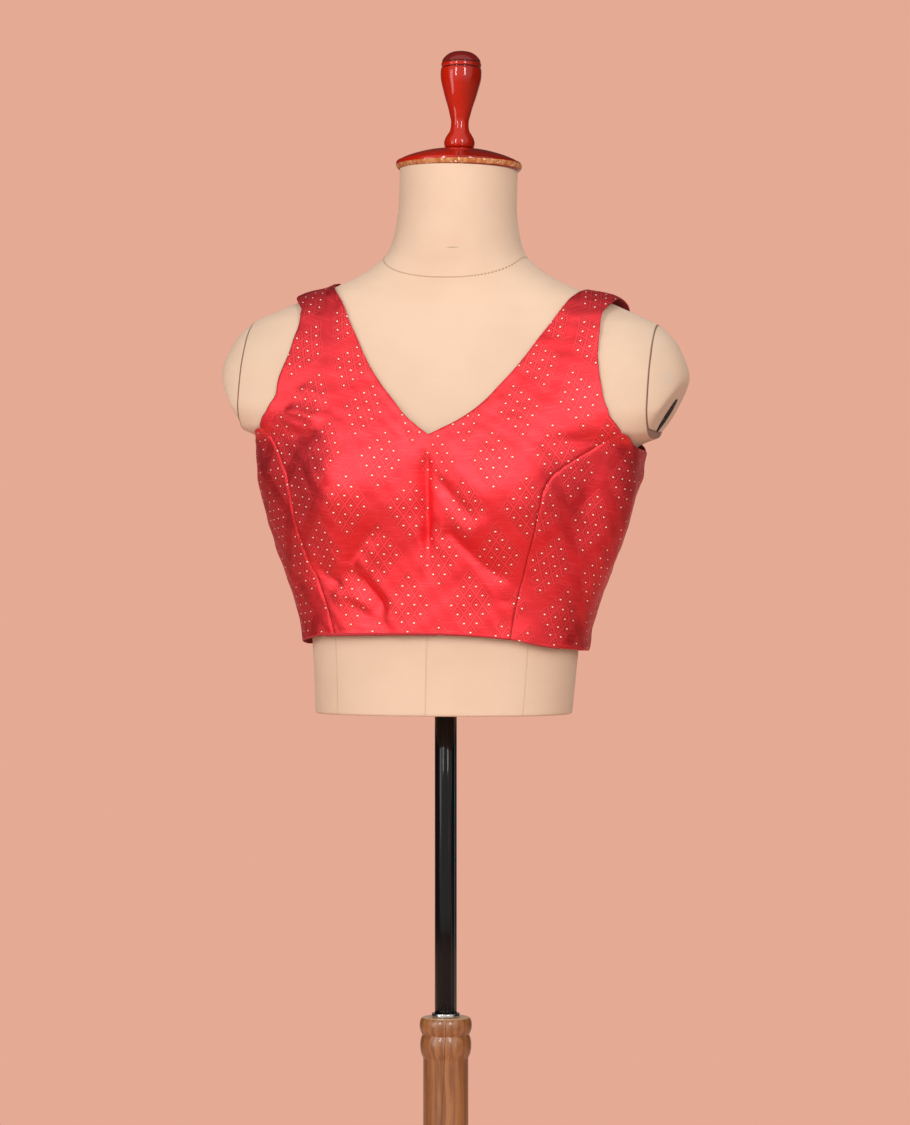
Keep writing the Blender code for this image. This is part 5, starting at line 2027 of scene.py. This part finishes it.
    def make_wood(self) -> Material:
        """Varnished brown wood of the post, hub and legs, with a glue line."""
        surface = Surface(0.38, coat=0.55, coat_roughness=0.16)
        board = surface.start("Varnished wood")
        place = board.place()
        across, depth, up = board.parts(place)
        grain = self.grain.on(board, Place=place)
        wear = self.wear.on(board, Place=place, Amount=0.1)
        wood = board.step(grain["Streaks"], 0.35, 0.65)
        wood = board.mix(wood, (0.21, 0.070, 0.020), (0.34, 0.135, 0.044))
        pores = board.times(board.step(grain["Pores"], 0.58, 0.75), 0.5)
        wood = board.mix(pores, wood, (0.13, 0.04, 0.014))
        line = board.minus(across, board.math("MULTIPLY_ADD", up, *GLUE_LINE))
        line = board.fall(board.math("ABSOLUTE", line), 0.0002, 0.0006)
        line = board.times(line, board.math("LESS_THAN", depth, 0.0))
        line = board.times(line, board.step(up, 0.25, 0.26))
        wood = board.mix(board.times(line, 0.7), wood, (0.08, 0.025, 0.01))
        top = board.times(board.step(up, *POST_TOP), 0.8)
        wood = board.mix(top, wood, (0.58, 0.36, 0.20))
        wood = board.mix(board.times(wear["Chips"], 0.4), wood, (0.52, 0.30, 0.15))
        board.put("Base Color", wood)
        board.put("Roughness", board.blend(wear["Scuffs"], 0.36, 0.5))
        height = board.minus(grain["Streaks"], board.times(line, 2.0))
        board.bump(height, 0.00008)
        return board.material

    def make_enamel(self) -> Material:
        """Black gloss enamel of the pole, with faint upright scuffs and a thin teal painted reflection
        near one edge.
        """
        surface = Surface(0.16, coat=0.25, coat_roughness=0.06, specular=0.12)
        board = surface.start("Black enamel")
        place = board.place()
        across, _, _ = board.parts(place)
        scuff = board.noise(board.scaled(place, (900.0, 900.0, 9.0)), 3.0)
        scuff = board.step(scuff, 0.56, 0.72)
        dark = board.mix(scuff, (0.004, 0.0035, 0.004), (0.020, 0.019, 0.020))
        # Painted reflection: a thin teal line along the pole near its +X edge stands in for the studio
        # reflected in the gloss
        reflection_line = board.math("ABSOLUTE", board.minus(across, POLE_REFLECTION))
        reflection_line = board.fall(reflection_line, 0.0001, 0.0004)
        dark = board.mix(reflection_line, dark, (0.045, 0.085, 0.085))
        board.put("Base Color", dark)
        board.put("Roughness", board.blend(scuff, 0.14, 0.34))
        board.bump(scuff, 0.00002)
        return board.material

    def make_steel(self) -> Material:
        """Bright turned steel of the ferrule, with fine lathe lines."""
        board = Surface(0.2, 1.0, anisotropic=0.4).start("Bright steel")
        place = board.place()
        lathe = board.noise(board.scaled(place, (60.0, 60.0, 9000.0)), 2.0)
        wear = self.wear.on(board, Place=place, Amount=0.2)
        board.put("Base Color", board.mix(lathe, (0.52, 0.51, 0.50), (0.72, 0.71, 0.70)))
        board.put("Roughness", board.blend(wear["Scuffs"], 0.16, 0.30))
        board.bump(lathe, 0.00001)
        return board.material

    def make_iron(self) -> Material:
        """Dark iron of the arm plates, rubbed brighter in places."""
        board = Surface(0.45, 0.8).start("Dark iron")
        place = board.place()
        wear = self.wear.on(board, Place=place, Amount=0.4)
        dark = board.mix(wear["Scuffs"], (0.020, 0.014, 0.018), (0.075, 0.055, 0.055))
        board.put("Base Color", board.mix(wear["Chips"], dark, (0.22, 0.14, 0.10)))
        board.put("Roughness", board.blend(wear["Chips"], 0.42, 0.62))
        board.bump(wear["Scuffs"], 0.00006)
        return board.material


# The studio


@dataclass
class Studio:
    """Floor, backdrop colour, soft lights and the camera."""

    backdrop: Triple = (0.783, 0.402, 0.296)
    front_fill: Triple = (0.82, 0.80, 0.77)
    side_fill: Triple = (0.035, 0.028, 0.026)
    back_fill: Triple = (0.46, 0.36, 0.32)
    low_fill: Triple = (0.44, 0.27, 0.21)
    fill_turn: float = float(np.radians(9.0))
    fill_rise: float = float(np.radians(24.0))
    fill_edges: Pair = (0.22, 0.58)
    back_edges: Pair = (-0.92, -0.72)
    low_edges: Pair = (-0.42, -0.04)
    floor_radius: float = 3.2
    # Turn to the form's left, rise, width, height and power, and whether it shows in gloss
    lights: Rows = (
        (-16.0, 20.0, 0.20, 1.30, 18.0, True),
        (34.0, 20.0, 0.26, 1.30, 18.0, True),
        (-44.0, 4.0, 0.70, 1.50, 11.0, True),
        (62.0, 6.0, 1.00, 1.60, 9.0, False),
        (-82.0, 10.0, 0.80, 1.20, 5.0, False),
        (176.0, 42.0, 1.60, 1.60, 22.0, False),
    )
    light_distance: float = 2.4
    target: Triple = (0.0, 0.0, 1.25)
    camera_turn: float = float(np.radians(12.0))
    camera_distance: float = 3.03
    camera_height: float = 1.08
    lens: float = 106.8
    shift: Pair = (0.0082, 0.0191)

    def world(self) -> None:
        """A pale warm backdrop for the camera; for all else a lit front and dim sides.

        The fill is side + (front - side) * step(d), where d is the cosine of the angle from
        the front and a little above. It turns to the back's fill behind and the floor's below.
        """
        world = bpy.data.worlds.new("Studio")
        bpy.context.scene.world = world
        world.use_nodes = True
        tree = world.node_tree
        seen = tree.nodes["Background"]
        seen.inputs["Color"].default_value = (*self.backdrop, 1.0)
        fill = tree.nodes.new("ShaderNodeBackground")
        board = Board(tree)
        facing = board.add("VectorMath", operation="DOT_PRODUCT")
        direction = board.add("TexCoord").outputs["Generated"]
        board.feed(facing.inputs[0], direction)
        facing.inputs[1].default_value = self.toward(self.fill_turn, self.fill_rise)
        share = board.step(facing.outputs["Value"], *self.fill_edges)
        lit = board.mix(share, self.side_fill, self.front_fill)
        lit = board.mix(board.step(facing.outputs["Value"], *self.back_edges), self.back_fill, lit)
        above = board.step(board.parts(direction)[2], *self.low_edges)
        board.feed(fill.inputs["Color"], board.mix(above, self.low_fill, lit))
        path = tree.nodes.new("ShaderNodeLightPath")
        mixed = tree.nodes.new("ShaderNodeMixShader")
        tree.links.new(path.outputs["Is Camera Ray"], mixed.inputs[0])
        tree.links.new(fill.outputs[0], mixed.inputs[1])
        tree.links.new(seen.outputs[0], mixed.inputs[2])
        tree.links.new(mixed.outputs[0], tree.nodes["World Output"].inputs["Surface"])

    def floor(self) -> None:
        """A round plain floor."""
        radius = np.array((0.0, *np.linspace(0.1, self.floor_radius, 12)))
        grid = turned(tuple((r, 0.0) for r in radius[::-1]), 96)
        mesh = mesh_of("floor", [grid], closed=True)
        merged(mesh, 1e-6)
        board = Surface(0.9, specular=0.2).start("Pale floor")
        place = board.place()
        share = board.noise(board.scaled(place, (3.0, 3.0, 3.0)), 3.0)
        board.put("Base Color", board.mix(share, (0.80, 0.47, 0.36), (0.86, 0.52, 0.40)))
        mesh.materials.append(board.material)
        piece = bpy.data.objects.new("floor", mesh)
        bpy.context.scene.collection.objects.link(piece)

    def toward(self, turn: float, rise: float) -> Vector:
        """The direction at a turn from the front to the form's left and a rise, in radians."""
        return Vector((np.sin(turn) * np.cos(rise), -np.cos(turn) * np.cos(rise), np.sin(rise)))

    def light(self, number: int, facts: tuple[float, ...]) -> None:
        """One soft light, aimed at the chest.

        Args:
            number: its number.
            facts: its row of the lights.
        """
        turn, lift, width, height, power, shows = facts
        data = bpy.data.lights.new(f"soft_light_{number}", "AREA")
        data.shape = "RECTANGLE"
        data.size, data.size_y = width, height
        data.energy = power
        away = self.toward(np.radians(turn), np.radians(lift))
        lamp = bpy.data.objects.new(data.name, data)
        lamp.visible_glossy = shows
        lamp.location = Vector(self.target) + away * self.light_distance
        lamp.rotation_euler = away.to_track_quat("Z", "Y").to_euler()
        bpy.context.scene.collection.objects.link(lamp)

    def camera(self) -> None:
        """A level camera, a little to the form's left of straight ahead."""
        data = bpy.data.cameras.new("camera")
        data.lens = self.lens
        data.shift_x, data.shift_y = self.shift
        eye = bpy.data.objects.new("camera", data)
        eye.location = self.toward(self.camera_turn, 0.0) * self.camera_distance
        eye.location.z = self.camera_height
        eye.rotation_euler = (np.pi / 2, 0.0, self.camera_turn)
        bpy.context.scene.collection.objects.link(eye)
        bpy.context.scene.camera = eye

    def build(self) -> None:
        """Set up the whole studio."""
        bpy.context.scene.view_settings.view_transform = "Standard"
        self.world()
        self.floor()
        for number, facts in enumerate(self.lights, 1):
            self.light(number, facts)
        self.camera()


def main() -> None:
    """Build the blouse, the form, the stand and the studio, and note the sizes."""
    logging.basicConfig(level=logging.INFO, format="%(message)s")
    studio = Studio()
    studio.build()
    finishes = Finishes()
    Blouse().build(finishes.silk, finishes.lining)
    DressForm().build(finishes.calico, finishes.iron)
    Stand().build(finishes)


if __name__ == "__main__":
    main()
